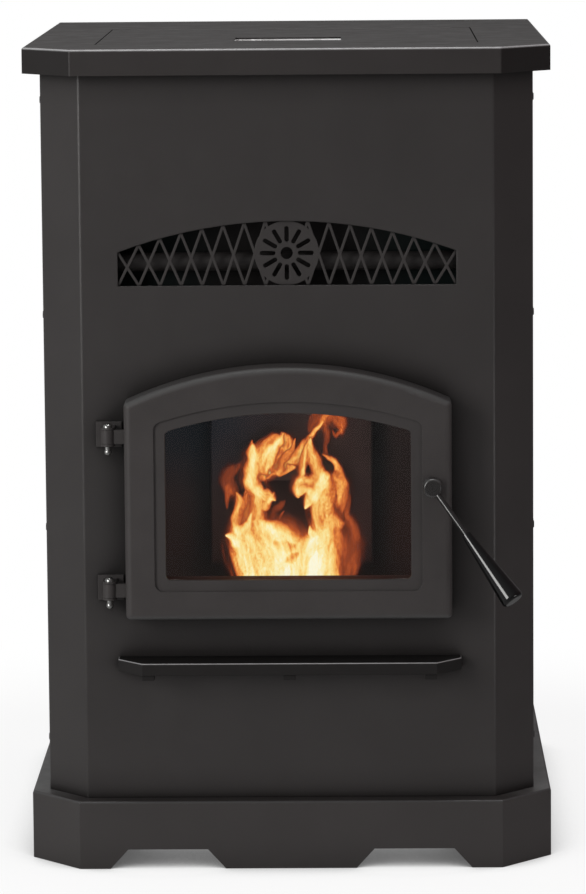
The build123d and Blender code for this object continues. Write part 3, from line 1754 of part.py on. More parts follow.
post_y = panel_width / 2 - panel_lap / 2
post_z = panel_tall / 2 - panel_lap / 2
button_back = body_half - button_flange
with BuildPart() as control_board:
    block(
        (board_x - board_thickness, board_x),
        (at(panel_depth) - panel_width / 2, at(panel_depth) + panel_width / 2),
        (panel_height - panel_tall / 2, panel_height + panel_tall / 2),
    )
    with BuildSketch(Plane.YZ.offset(board_x)):
        with Locations((at(panel_depth), panel_height)):
            with GridLocations(2 * post_y, 2 * post_z, 2, 2):
                Circle(board_post_radius)
    extrude(amount=board_inset)
    block(
        (board_x, board_x + pot_body / 2),
        (at(panel_depth) - pot_body / 2, at(panel_depth) + pot_body / 2),
        (dial_z - pot_body / 2, dial_z + pot_body / 2),
    )
    block(
        (board_x, button_back - button_travel - face_gap),
        (at(panel_depth) - switch_half, at(panel_depth) + switch_half),
        (button_z - switch_half, button_z + switch_half),
    )
    with BuildSketch(Plane.YZ.offset(board_x)):
        with Locations((at(panel_depth), dial_z)):
            Circle(dial_shaft_radius + running_gap)
    extrude(amount=pot_body / 2, mode=Mode.SUBTRACT)
save(control_board, "control_board")

with BuildPart() as control_knob:
    with BuildSketch(Plane.YZ.offset(bezel_face + face_gap)):
        with Locations((at(panel_depth), dial_z)):
            Circle(dial_radius)
    extrude(amount=dial_length)
    fillet(control_knob.edges().sort_by(Axis.X)[-1], dial_edge_radius)
    with BuildSketch(Plane.YZ.offset(bezel_face + face_gap + dial_length)):
        with Locations((at(panel_depth), dial_z + dial_radius)):
            Rectangle(pointer_width, 2 * pointer_length)
    extrude(amount=-pointer_depth, mode=Mode.SUBTRACT)
    with BuildSketch(Plane.YZ.offset(bezel_face + face_gap)):
        with Locations((at(panel_depth), dial_z)):
            Circle(dial_shaft_radius)
    extrude(amount=board_x + face_gap - bezel_face - face_gap)
save(control_knob, "control_knob")

# Power button: cap in the bezel, kept from falling out by a flange behind it.
with BuildPart() as power_button:
    with BuildSketch(Plane.YZ.offset(body_half - face_gap)):
        with Locations((at(panel_depth), button_z)):
            Circle(button_radius)
    extrude(amount=face_gap + panel_thickness + button_travel + button_proud)
    fillet(power_button.edges().sort_by(Axis.X)[-1], button_edge_radius)
    with BuildSketch(Plane.YZ.offset(body_half - face_gap)):
        with Locations((at(panel_depth), button_z)):
            Circle(button_radius + button_lip)
    extrude(amount=face_gap - button_flange)
save(power_button, "power_button")

# Power inlet in the rear panel: flanged body with a recess and three flat pins.
with BuildPart() as power_inlet:
    block(
        (inlet_x - inlet_width / 2, inlet_x + inlet_width / 2),
        (back_y - inlet_body, back_y),
        (inlet_z - inlet_tall / 2, inlet_z + inlet_tall / 2),
    )
    block(
        (inlet_x - inlet_width / 2 - inlet_flange, inlet_x + inlet_width / 2 + inlet_flange),
        (back_y, back_y + inlet_lip),
        (inlet_z - inlet_tall / 2 - inlet_flange, inlet_z + inlet_tall / 2 + inlet_flange),
    )
    block(
        (inlet_x - inlet_width / 2 + inlet_wall, inlet_x + inlet_width / 2 - inlet_wall),
        (back_y + inlet_lip - inlet_recess, back_y + inlet_lip),
        (inlet_z - inlet_tall / 2 + inlet_wall, inlet_z + inlet_tall / 2 - inlet_wall),
        mode=Mode.SUBTRACT,
    )
    for place in (-1, 0, 1):
        x = inlet_x + place * inlet_pin_pitch
        z = inlet_z + (1 - abs(place)) * inlet_pin_rise
        block(
            (x - inlet_pin / 2, x + inlet_pin / 2),
            (back_y + inlet_lip - inlet_recess, back_y),
            (z - inlet_pin, z + inlet_pin),
        )
save(power_inlet, "power_inlet")

# Cabinet screws: along the two side seams and around the rear panel.
with BuildPart() as cabinet_screws:
    for side in (-1, 1):
        for y, z in seam_spots:
            with Locations((side * (body_half + screw_head_height / 2), y, z)):
                Cylinder(screw_head_radius, screw_head_height, rotation=(0, 90, 0))
            with Locations((side * (body_half - screw_body_length / 2), y, z)):
                Cylinder(screw_body_radius, screw_body_length, rotation=(0, 90, 0))
        for z in seam_rows:
            with Locations((side * back_screw_x, back_y + screw_head_height / 2, z)):
                Cylinder(screw_head_radius, screw_head_height, rotation=(90, 0, 0))
            with Locations((side * back_screw_x, back_y - screw_body_length / 2, z)):
                Cylinder(screw_body_radius, screw_body_length, rotation=(90, 0, 0))
save(cabinet_screws, "cabinet_screws")
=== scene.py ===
import math
import random

import bmesh
import bpy
import numpy as np
from mathutils import Matrix, Vector, noise


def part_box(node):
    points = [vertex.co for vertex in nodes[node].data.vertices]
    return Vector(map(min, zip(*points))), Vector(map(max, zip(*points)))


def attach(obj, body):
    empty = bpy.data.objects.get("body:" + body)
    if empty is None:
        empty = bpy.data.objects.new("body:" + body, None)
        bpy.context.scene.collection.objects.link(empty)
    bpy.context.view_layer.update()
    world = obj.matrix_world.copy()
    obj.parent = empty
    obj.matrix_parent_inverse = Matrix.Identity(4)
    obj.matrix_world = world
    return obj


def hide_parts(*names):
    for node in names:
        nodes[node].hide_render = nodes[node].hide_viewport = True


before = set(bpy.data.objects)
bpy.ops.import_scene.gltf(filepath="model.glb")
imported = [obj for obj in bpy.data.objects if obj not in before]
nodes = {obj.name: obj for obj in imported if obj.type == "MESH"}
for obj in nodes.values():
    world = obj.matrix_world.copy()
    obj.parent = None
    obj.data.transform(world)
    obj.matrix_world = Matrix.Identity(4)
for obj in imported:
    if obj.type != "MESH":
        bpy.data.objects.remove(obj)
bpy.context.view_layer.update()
MM = 0.001
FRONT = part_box("front_panel")[0].y


def at(depth):
    """The y of a plane this many millimetres behind the front panel's face."""
    return FRONT + depth * MM


def srgb(red, green, blue):
    """Linear colour of a display colour in 0 to 255."""
    return tuple(
        v / 12.92 if v <= 0.04045 else ((v + 0.055) / 1.055) ** 2.4
        for v in (red / 255, green / 255, blue / 255)
    )


def tint(colour, factor):
    return tuple(max(0.0, c * factor) for c in colour)


# ---------------------------------------------------------------- shader building
class Graph:
    """A node tree, built by short calls."""

    def __init__(self, tree, output):
        self.tree = tree
        self.tree.nodes.clear()
        self.out = self.node(output)

    def node(self, kind, values=None, links=None, **settings):
        made = self.tree.nodes.new(kind)
        for key, value in settings.items():
            setattr(made, key, value)
        for key, value in (values or {}).items():
            made.inputs[key].default_value = value
        for key, value in (links or {}).items():
            self.tree.links.new(value, made.inputs[key])
        return made

    def fill(self, made, slots):
        """Give inputs their sockets, numbers or fixed colours."""
        for slot, value in slots.items():
            if isinstance(value, (int, float)):
                made.inputs[slot].default_value = value
            elif isinstance(value, tuple):
                made.inputs[slot].default_value = (*value, 1)
            elif value is not None:
                self.tree.links.new(value, made.inputs[slot])

    def math(self, operation, first, second=None, clamp=False):
        made = self.node("ShaderNodeMath", operation=operation, use_clamp=clamp)
        self.fill(made, {0: first, 1: second})
        return made.outputs[0]

    def remap(self, value, low, high, to_low, to_high, smooth=False):
        return self.node(
            "ShaderNodeMapRange",
            {"From Min": low, "From Max": high, "To Min": to_low, "To Max": to_high},
            {"Value": value},
            interpolation_type="SMOOTHSTEP" if smooth else "LINEAR",
        ).outputs[0]

    def blend(self, factor, first, second):
        """Mix of two colours, each a socket or a fixed colour."""
        made = self.node("ShaderNodeMix", data_type="RGBA")
        self.fill(made, {0: factor, 6: first, 7: second})
        return made.outputs[2]

    def parts(self, vector):
        return self.node("ShaderNodeSeparateXYZ", links={"Vector": vector}).outputs

    def cover_with(self, shader):
        self.tree.links.new(shader.outputs[0], self.out.inputs["Surface"])


class Tree(Graph):
    """A material's node tree. Coordinates are the object's own, in metres."""

    def __init__(self, name):
        self.material = bpy.data.materials.new(name)
        self.material.use_nodes = True
        super().__init__(self.material.node_tree, "ShaderNodeOutputMaterial")
        coordinates = self.node("ShaderNodeTexCoord")
        self.place = coordinates.outputs["Object"]
        self.facing = coordinates.outputs["Normal"]

    def scaled(self, factors, shift=(0, 0, 0), turn=(0, 0, 0)):
        return self.node(
            "ShaderNodeMapping",
            {"Scale": factors, "Location": shift, "Rotation": turn},
            {"Vector": self.place},
        ).outputs[0]

    def noise(self, scale, detail=3.0, rough=0.5, vector=None, warp=0.0):
        return self.node(
            "ShaderNodeTexNoise",
            {"Scale": scale, "Detail": detail, "Roughness": rough, "Distortion": warp},
            {"Vector": vector or self.place},
        ).outputs[0]

    def cells(self, scale, feature="F1", output="Distance"):
        return self.node(
            "ShaderNodeTexVoronoi", {"Scale": scale}, {"Vector": self.place}, feature=feature
        ).outputs[output]

    def ramp(self, value, stops):
        made = self.node("ShaderNodeValToRGB", links={"Fac": value})
        bar = made.color_ramp.elements
        bar[0].position, bar[0].color = stops[0][0], (*stops[0][1], 1)
        bar[1].position, bar[1].color = stops[-1][0], (*stops[-1][1], 1)
        for place, colour in stops[1:-1]:
            bar.new(place).color = (*colour, 1)
        return made.outputs[0]

    def bump(self, height, strength, distance, normal=None):
        links = {"Height": height}
        if normal:
            links["Normal"] = normal
        return self.node("ShaderNodeBump", {"Strength": strength, "Distance": distance}, links).outputs[0]

    def rims(self):
        """1 on edges rounded between a flat top or bottom and a side, 0 on both."""
        up = self.math("ABSOLUTE", self.parts(self.facing)[2])
        level = self.math("SQRT", self.math("SUBTRACT", 1.0, self.math("MULTIPLY", up, up), True))
        return self.math("POWER", self.math("MULTIPLY", self.math("MULTIPLY", up, level), 2.0, True), 2.0)

    def bevelled(self, radius):
        """A normal that rounds sharp edges."""
        return self.node("ShaderNodeBevel", {"Radius": radius}, samples=4).outputs[0]

    def openness(self, reach, samples):
        """1 in the open, less where other surfaces stand within reach."""
        return self.node("ShaderNodeAmbientOcclusion", {"Distance": reach}, samples=samples).outputs["AO"]

    def surface(self, values, links):
        """Finish the material with a general shader and give it back."""
        self.cover_with(self.node("ShaderNodeBsdfPrincipled", values, links))
        return self.material


def mottled(tree, colour, spread, scale=9.0):
    """A colour that drifts a little lighter and darker over the surface."""
    return tree.ramp(
        tree.noise(scale, 4.0, 0.6),
        [(0.3, tint(colour, 1 - spread)), (0.7, tint(colour, 1 + spread))],
    )


SHEET_BEND = 0.0012
NOOK_REACH = 0.038
PAINTED_NOOK_SHADE = (0.002, 0.0019, 0.0019)
# Depths behind the front between which the painted sheen on level ledges fades in.
SHEEN_FROM, SHEEN_TO = at(0), at(50)


def powder_coat(
    name, colour, rough, specular=0.45, rim=0.0, ledge_sheen=0.0, corner=0.0, bend=SHEET_BEND, deep=0.35
):
    """Fine-textured baked paint on sheet metal.

    rim is the grey of a painted highlight along rounded edges, dust that of a painted sheen on level ledges
    behind the front, corner the share of the colour left on slanted corners as painted shade, and deep the
    light left in tight nooks as painted shade.
    """
    t = Tree(name)
    height = t.math("ADD", t.noise(1400.0, 2.0, 0.5), t.math("MULTIPLY", t.noise(120.0, 2.0, 0.5), 0.5))
    base = mottled(t, colour, 0.06)
    # Painted sheen: level ledges behind the front lightened towards the dust grey, standing in for their
    # glancing reflection.
    if ledge_sheen:
        ledge_sheen_mask = t.math("MULTIPLY", t.remap(t.parts(t.facing)[2], 0.9, 1.0, 0.0, 1.0), t.noise(25.0, 4.0, 0.6))
        ledge_sheen_mask = t.math("MULTIPLY", ledge_sheen_mask, t.remap(t.parts(t.place)[1], SHEEN_FROM, SHEEN_TO, 0.0, 1.0))
        base = t.blend(ledge_sheen_mask, base, (ledge_sheen, ledge_sheen, ledge_sheen))
    # Painted shade: slanted corner faces darkened to the corner share of the colour.
    if corner:
        x, y, _ = t.parts(t.facing)
        painted_corner_shade = t.math("MULTIPLY", t.math("ABSOLUTE", t.math("MULTIPLY", x, y)), 2.0, True)
        base = t.blend(t.math("POWER", painted_corner_shade, 2.0), base, tint(colour, corner))
    # Painted highlight: rounded edges lightened towards the rim grey, in patches.
    if rim:
        painted_edge_highlight = t.math("MULTIPLY", t.rims(), t.remap(t.noise(45.0, 4.0, 0.6), 0.3, 0.7, 0.75, 1.0))
        base = t.blend(painted_edge_highlight, base, (rim, rim, rim * 1.02))
    # Painted shade: colour and shine darkened in nooks, by how closed in each point is.
    open_air = t.remap(t.openness(NOOK_REACH, 6), 0.52, 0.92, deep, 1.0)
    return t.surface(
        {},
        {
            "Specular IOR Level": t.math("MULTIPLY", open_air, specular),
            "Base Color": t.blend(open_air, PAINTED_NOOK_SHADE, base),
            "Roughness": t.remap(t.noise(35.0, 4.0, 0.6), 0.3, 0.7, rough - 0.05, rough + 0.05),
            "Normal": t.bump(height, 0.1, 0.0006, t.bevelled(bend)),
        },
    )


CAST_EDGE = 0.001
# Grey of the painted highlight on a casting's rounded edges.
EDGE_HIGHLIGHT_GREY = (0.05, 0.05, 0.05)


def cast_metal(name, colour, rough, strength=0.3, specular=0.25):
    """Painted casting with the sand's grain, a few soft pits and rounded edges lightened as a painted
    highlight.
    """
    t = Tree(name)
    grain = t.noise(900.0, 4.0, 0.65)
    pits = t.remap(t.cells(260.0), 0.0, 0.25, -0.5, 0.0)
    return t.surface(
        {"Specular IOR Level": specular},
        {
            "Base Color": t.blend(t.rims(), mottled(t, colour, 0.08, 22.0), EDGE_HIGHLIGHT_GREY),
            "Roughness": t.remap(grain, 0.3, 0.7, rough - 0.08, rough + 0.08),
            "Normal": t.bump(t.math("ADD", grain, pits), strength, 0.0006, t.bevelled(CAST_EDGE)),
        },
    )


def brushed(name, colour, rough, stretch=(4.0, 900.0, 900.0), strength=0.05):
    """Metal with fine parallel lines along one axis."""
    t = Tree(name)
    lines = t.noise(1.0, 3.0, 0.6, t.scaled(stretch))
    return t.surface(
        {"Metallic": 1.0},
        {
            "Base Color": t.ramp(lines, [(0.3, tint(colour, 0.8)), (0.7, tint(colour, 1.12))]),
            "Roughness": t.remap(lines, 0.3, 0.7, rough - 0.07, rough + 0.1),
            "Normal": t.bump(lines, strength, 0.0003),
        },
    )


def galvanised(name, colour, rough, metallic):
    """Zinc-coated sheet with its frost-flower crystals."""
    t = Tree(name)
    level = t.node("ShaderNodeSeparateColor", links={"Color": t.cells(75.0, output="Color")}).outputs[0]
    mix = t.math("ADD", t.math("MULTIPLY", level, 0.75), t.math("MULTIPLY", t.noise(600.0, 3.0, 0.7), 0.25))
    return t.surface(
        {"Metallic": metallic},
        {
            "Base Color": t.ramp(mix, [(0.15, tint(colour, 0.72)), (0.85, tint(colour, 1.18))]),
            "Roughness": t.remap(mix, 0.0, 1.0, rough - 0.1, rough + 0.14),
            "Normal": t.bump(mix, 0.05, 0.0004),
        },
    )


def shaded_sheet(name):
    """Heat-proof black paint inside the warm air outlet, tinted teal towards its ends."""
    t = Tree(name)
    patches = t.noise(30.0, 4.0, 0.6)
    x = t.parts(t.place)[0]
    ends = t.remap(t.math("ABSOLUTE", x), 0.05, 0.17, 0.0, 1.0, True)
    return t.surface(
        {"Specular IOR Level": 0.15},
        {
            "Base Color": t.blend(ends, (0.0085, 0.0072, 0.0072), (0.0042, 0.0088, 0.0088)),
            "Roughness": t.remap(patches, 0.3, 0.7, 0.6, 0.8),
            "Normal": t.bump(patches, 0.1, 0.0005),
        },
    )


NAVY_TINT = (0.01, 0.028, 0.05)
FIRE_GLOW_TINT = (0.05, 0.022, 0.018)
ASH = (0.16, 0.15, 0.14)


def soot_and_fire_glow(name, colour):
    """Firebox plate: dark steel with soot, tinted navy high up on the left; low down a painted reddish glow
    of the fire, and ash.
    """
    t = Tree(name)
    patches = t.noise(14.0, 5.0, 0.65)
    x, _, z = t.parts(t.place)
    base = t.ramp(patches, [(0.3, tint(colour, 0.6)), (0.7, tint(colour, 1.35))])
    left = t.remap(x, 0.05, -0.13, 0.0, 1.0, True)
    high = t.remap(z, 0.38, 0.5, 0.0, 1.0, True)
    base = t.blend(t.math("MULTIPLY", t.math("MULTIPLY", left, high), 0.85), base, NAVY_TINT)
    # Painted light: the fire's reddish glow, rising towards the bottom.
    low = t.remap(z, 0.44, 0.33, 0.0, 1.0, True)
    base = t.blend(t.math("MULTIPLY", low, 0.5), base, FIRE_GLOW_TINT)
    ash = t.math("MULTIPLY", t.remap(z, 0.24, 0.30, 1.0, 0.0), t.noise(60.0, 5.0, 0.7), True)
    return t.surface(
        {"Specular IOR Level": 0.25},
        {
            "Base Color": t.blend(t.math("MULTIPLY", ash, 0.35), base, ASH),
            "Roughness": t.remap(patches, 0.3, 0.7, 0.65, 0.85),
            "Normal": t.bump(t.noise(420.0, 4.0, 0.6), 0.25, 0.0006),
        },
    )


def moulded(name, colour, rough, grain=2200.0, strength=0.06, specular=0.5):
    """Moulded plastic with its fine surface texture and faint rub marks."""
    t = Tree(name)
    rubs = t.noise(1.0, 4.0, 0.6, t.scaled((60.0, 260.0, 260.0)))
    return t.surface(
        {"Specular IOR Level": specular},
        {
            "Base Color": mottled(t, colour, 0.05, 30.0),
            "Roughness": t.remap(rubs, 0.3, 0.7, rough, rough + 0.06),
            "Normal": t.bump(t.noise(grain, 2.0, 0.5), strength, 0.0002),
        },
    )


def hammered(name, colour):
    """Hammered enamel on motors and the gearbox."""
    t = Tree(name)
    dimples = t.cells(180.0, feature="SMOOTH_F1")
    return t.surface(
        {"Specular IOR Level": 0.6},
        {
            "Base Color": mottled(t, colour, 0.12, 40.0),
            "Roughness": t.remap(dimples, 0.0, 0.6, 0.25, 0.45),
            "Normal": t.bump(dimples, 0.4, 0.0008),
        },
    )


def window_glass():
    """Clear ceramic glass with a slight smoke tint and a trace of haze."""
    t = Tree("ceramic_glass")
    haze = t.noise(18.0, 4.0, 0.6)
    return t.surface(
        {"Transmission Weight": 1.0, "IOR": 1.18},
        {
            "Base Color": t.ramp(haze, [(0.35, (0.95, 0.95, 0.96)), (0.7, (0.99, 0.99, 1.0))]),
            "Roughness": t.remap(haze, 0.4, 0.8, 0.0, 0.01),
        },
    )


def knitted(name, colour):
    """Knitted or woven mineral fibre."""
    t = Tree(name)
    warp = t.node(
        "ShaderNodeTexWave",
        {"Scale": 150.0, "Distortion": 2.0, "Detail": 2.0},
        {"Vector": t.place},
        bands_direction="DIAGONAL",
    ).outputs[1]
    fibre = t.noise(1600.0, 4.0, 0.7)
    height = t.math("ADD", warp, t.math("MULTIPLY", fibre, 0.6))
    return t.surface(
        {"Specular IOR Level": 0.2, "Sheen Weight": 0.4},
        {
            "Base Color": t.ramp(height, [(0.2, tint(colour, 0.55)), (1.0, tint(colour, 1.2))]),
            "Roughness": t.remap(fibre, 0.3, 0.7, 0.85, 1.0),
            "Normal": t.bump(height, 0.7, 0.0008),
        },
    )


def foam(name, colour):
    """Closed-cell seal."""
    t = Tree(name)
    pores = t.cells(1400.0)
    return t.surface(
        {"Specular IOR Level": 0.25},
        {
            "Base Color": mottled(t, colour, 0.15, 60.0),
            "Roughness": t.remap(pores, 0.0, 0.6, 0.75, 0.95),
            "Normal": t.bump(pores, 0.5, 0.0005),
        },
    )


def circuit(name):
    """Lacquered circuit board with its copper tracks showing through."""
    t = Tree(name)
    tracks = t.node(
        "ShaderNodeTexBrick",
        {
            "Color1": (0.02, 0.11, 0.05, 1),
            "Color2": (0.015, 0.085, 0.04, 1),
            "Mortar": (0.06, 0.2, 0.08, 1),
            "Scale": 160.0,
            "Mortar Size": 0.03,
        },
        {"Vector": t.scaled((1, 1, 1), turn=(0, math.pi / 2, 0))},
    ).outputs[0]
    return t.surface(
        {"Coat Weight": 0.4},
        {"Base Color": tracks, "Roughness": t.remap(t.noise(50.0), 0.3, 0.7, 0.35, 0.5)},
    )


def heated_iron(name):
    """Cast burn pot: rough iron that glows dull red towards the fire."""
    t = Tree(name)
    grain = t.noise(700.0, 4.0, 0.65)
    warm = t.remap(t.parts(t.place)[2], 0.285, 0.318, 0.0, 1.0)
    glow = t.math("MULTIPLY", warm, t.noise(90.0, 4.0, 0.6), True)
    return t.surface(
        {"Specular IOR Level": 0.4},
        {
            "Base Color": mottled(t, (0.05, 0.045, 0.042), 0.3, 60.0),
            "Roughness": t.remap(grain, 0.3, 0.7, 0.6, 0.85),
            "Normal": t.bump(grain, 0.4, 0.0008),
            "Emission Color": t.ramp(glow, [(0.1, (0.0, 0.0, 0.0)), (0.7, (0.9, 0.16, 0.02))]),
            "Emission Strength": t.remap(glow, 0.1, 0.6, 0.0, 0.8),
        },
    )


def ember(name):
    """Burning wood pellets: charred skin with bright cracks."""
    t = Tree(name)
    cracks = t.noise(260.0, 5.0, 0.7, warp=0.6)
    return t.surface(
        {"Specular IOR Level": 0.1},
        {
            "Base Color": t.ramp(cracks, [(0.3, (0.02, 0.012, 0.008)), (0.7, (0.2, 0.1, 0.05))]),
            "Roughness": t.remap(cracks, 0.3, 0.7, 0.8, 1.0),
            "Normal": t.bump(cracks, 0.5, 0.001),
            "Emission Color": t.ramp(
                cracks, [(0.3, (0.5, 0.03, 0.0)), (0.5, (1.0, 0.28, 0.03)), (0.68, (1.0, 0.72, 0.3))]
            ),
            "Emission Strength": t.remap(cracks, 0.32, 0.62, 0.1, 2.2),
        },
    )


HEAT_OF_WHITE = 1.25
DIFFUSE_GLOW = 0.15


def fire(name, seed):
    """Flame: colour and clearness from the heat carried by the mesh, drawn out into filaments."""
    t = Tree(name)
    heat = t.node("ShaderNodeAttribute", attribute_name="warmth").outputs["Fac"]
    streaks = t.noise(1.0, 4.0, 0.55, t.scaled((170.0, 60.0, 75.0), (seed, 0, seed)), 2.2)
    threads = t.noise(1.0, 3.0, 0.5, t.scaled((420.0, 90.0, 190.0), (0, seed, seed)), 1.6)
    stir = t.math(
        "ADD",
        t.math("MULTIPLY", t.math("SUBTRACT", streaks, 0.5), 0.5),
        t.math("MULTIPLY", t.math("SUBTRACT", threads, 0.5), 0.16),
    )
    level = t.math("ADD", heat, t.math("MULTIPLY", stir, t.remap(heat, 0.0, 0.6, 0.35, 1.0)))
    colour = t.ramp(
        t.math("DIVIDE", level, HEAT_OF_WHITE),
        [
            (0.1, srgb(122, 52, 30)),
            (0.22, srgb(146, 64, 34)),
            (0.33, srgb(184, 86, 40)),
            (0.45, srgb(228, 130, 58)),
            (0.57, srgb(248, 182, 92)),
            (0.69, srgb(254, 218, 132)),
            (0.82, srgb(255, 238, 172)),
            (0.96, srgb(255, 250, 220)),
        ],
    )
    cover = t.remap(t.math("ADD", heat, t.math("MULTIPLY", stir, 0.3)), 0.03, 0.42, 0.0, 1.0, True)
    spread = t.node("ShaderNodeLightPath").outputs["Is Diffuse Ray"]
    glow = t.node(
        "ShaderNodeEmission",
        links={"Color": colour, "Strength": t.remap(spread, 0.0, 1.0, 1.0, DIFFUSE_GLOW)},
    )
    clear = t.node("ShaderNodeBsdfTransparent")
    t.cover_with(t.node("ShaderNodeMixShader", links={0: cover, 1: clear.outputs[0], 2: glow.outputs[0]}))
    return t.material


# ---------------------------------------------------------------- materials of the CAD pieces
PAINT = (0.0265, 0.024, 0.0237)
cabinet = powder_coat("cabinet_paint", tint(PAINT, 1.03), 0.33, bend=0.0026)
base_paint = powder_coat("base_paint", tint(PAINT, 1.2), 0.36, rim=0.045, ledge_sheen=0.19, deep=0.85)
cap_paint = powder_coat("cap_paint", tint(PAINT, 1.04), 0.4, specular=0.2, rim=0.3, corner=0.55)
# The lip's paint is darkened well below the cabinet's as painted shade under the door.
shaded_lip_paint = powder_coat("shaded_lip_paint", tint(PAINT, 0.42), 0.5, specular=0.2, rim=0.3, deep=0.6)
grille_paint = powder_coat("grille_paint", tint(PAINT, 1.1), 0.5, specular=0.3)
dark_sheet = shaded_sheet("dark_sheet")
iron = cast_metal("door_paint", tint(PAINT, 1.33), 0.5)
hub_iron = cast_metal("hub_paint", tint(PAINT, 0.5), 0.28, strength=0.1, specular=0.6)
zinc = galvanised("zinc_sheet", (0.42, 0.43, 0.44), 0.42, 0.85)
plate = soot_and_fire_glow("firebox_plate", (0.034, 0.03, 0.03))
bright = brushed("bright_steel", (0.62, 0.61, 0.6), 0.22)
pin_steel = brushed("pin_steel", (0.4, 0.4, 0.39), 0.26, (300.0, 300.0, 300.0), 0.03)
pull_steel = galvanised("pull_zinc", (0.72, 0.72, 0.72), 0.4, 0.3)
rod_steel = moulded("rod_paint", (0.012, 0.0115, 0.0115), 0.16, 900.0, 0.03, specular=0.6)
aluminium = brushed("fan_aluminium", (0.6, 0.6, 0.62), 0.34, (200.0, 200.0, 200.0), 0.1)
gloss_plastic = moulded("gloss_plastic", (0.0022, 0.0022, 0.0024), 0.09, 500.0, 0.01)
matt_plastic = moulded("matt_plastic", (0.02, 0.02, 0.021), 0.55)
enamel = hammered("machine_enamel", (0.09, 0.09, 0.1))
seal = foam("lid_seal", (0.03, 0.03, 0.032))
fibre = knitted("mineral_fibre", (0.3, 0.29, 0.27))
green_board = circuit("circuit_board")

LOOKS = {
    cabinet: "front_panel left_side_panel right_side_panel cabinet_screws",
    base_paint: "pedestal_base",
    cap_paint: "top_cap hopper_lid",
    shaded_lip_paint: "ash_lip",
    grille_paint: "outlet_grille air_deflector",
    dark_sheet: "outlet_plenum",
    iron: "door_frame door_hinge_brackets latch_keeper",
    hub_iron: "latch_hub",
    zinc: "floor_plate rear_panel joint_strips air_jacket convection_housing hopper "
    "hopper_tray exhaust_duct exhaust_housing flue_collar air_intake_pipe auger_tube",
    plate: "firebox_shell rear_liner baffle_plate heat_exchanger_tubes burn_pot_stand ash_pan "
    "pellet_chute",
    bright: "latch_cam glass_clips lid_hinge_fixed lid_hinge_moving auger_screw igniter",
    pin_steel: "door_hinge_pins",
    pull_steel: "lid_pull",
    rod_steel: "handle_rod",
    aluminium: "exhaust_impeller convection_wheel",
    gloss_plastic: "handle_knob control_knob",
    matt_plastic: "control_panel power_button power_inlet",
    enamel: "auger_gearbox auger_motor exhaust_motor convection_motor",
    green_board: "control_board",
    window_glass(): "door_glass",
    heated_iron("hot_pot"): "burn_pot",
}
for look, names in LOOKS.items():
    for name in names.split():
        nodes[name].data.materials.clear()
        nodes[name].data.materials.append(look)


# ---------------------------------------------------------------- pieces made here
def add_piece(name, mesh, look, body, slot=None):
    piece = bpy.data.objects.new(name, mesh)
    bpy.context.scene.collection.objects.link(piece)
    mesh.materials.append(look)
    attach(piece, body)
    return piece


def smooth_point(points, place):
    """A point on the smooth curve through the given points, at a place from 0 to 1."""
    last = len(points) - 1
    step = min(int(place * last), last - 1)
    t = place * last - step
    before, here = points[max(step - 1, 0)], points[step]
    after, beyond = points[step + 1], points[min(step + 2, last)]
    return tuple(
        0.5 * (2 * b + (c - a) * t + (2 * a - 5 * b + 4 * c - d) * t**2 + (3 * b - a - 3 * c + d) * t**3)
        for a, b, c, d in zip(before, here, after, beyond)
    )
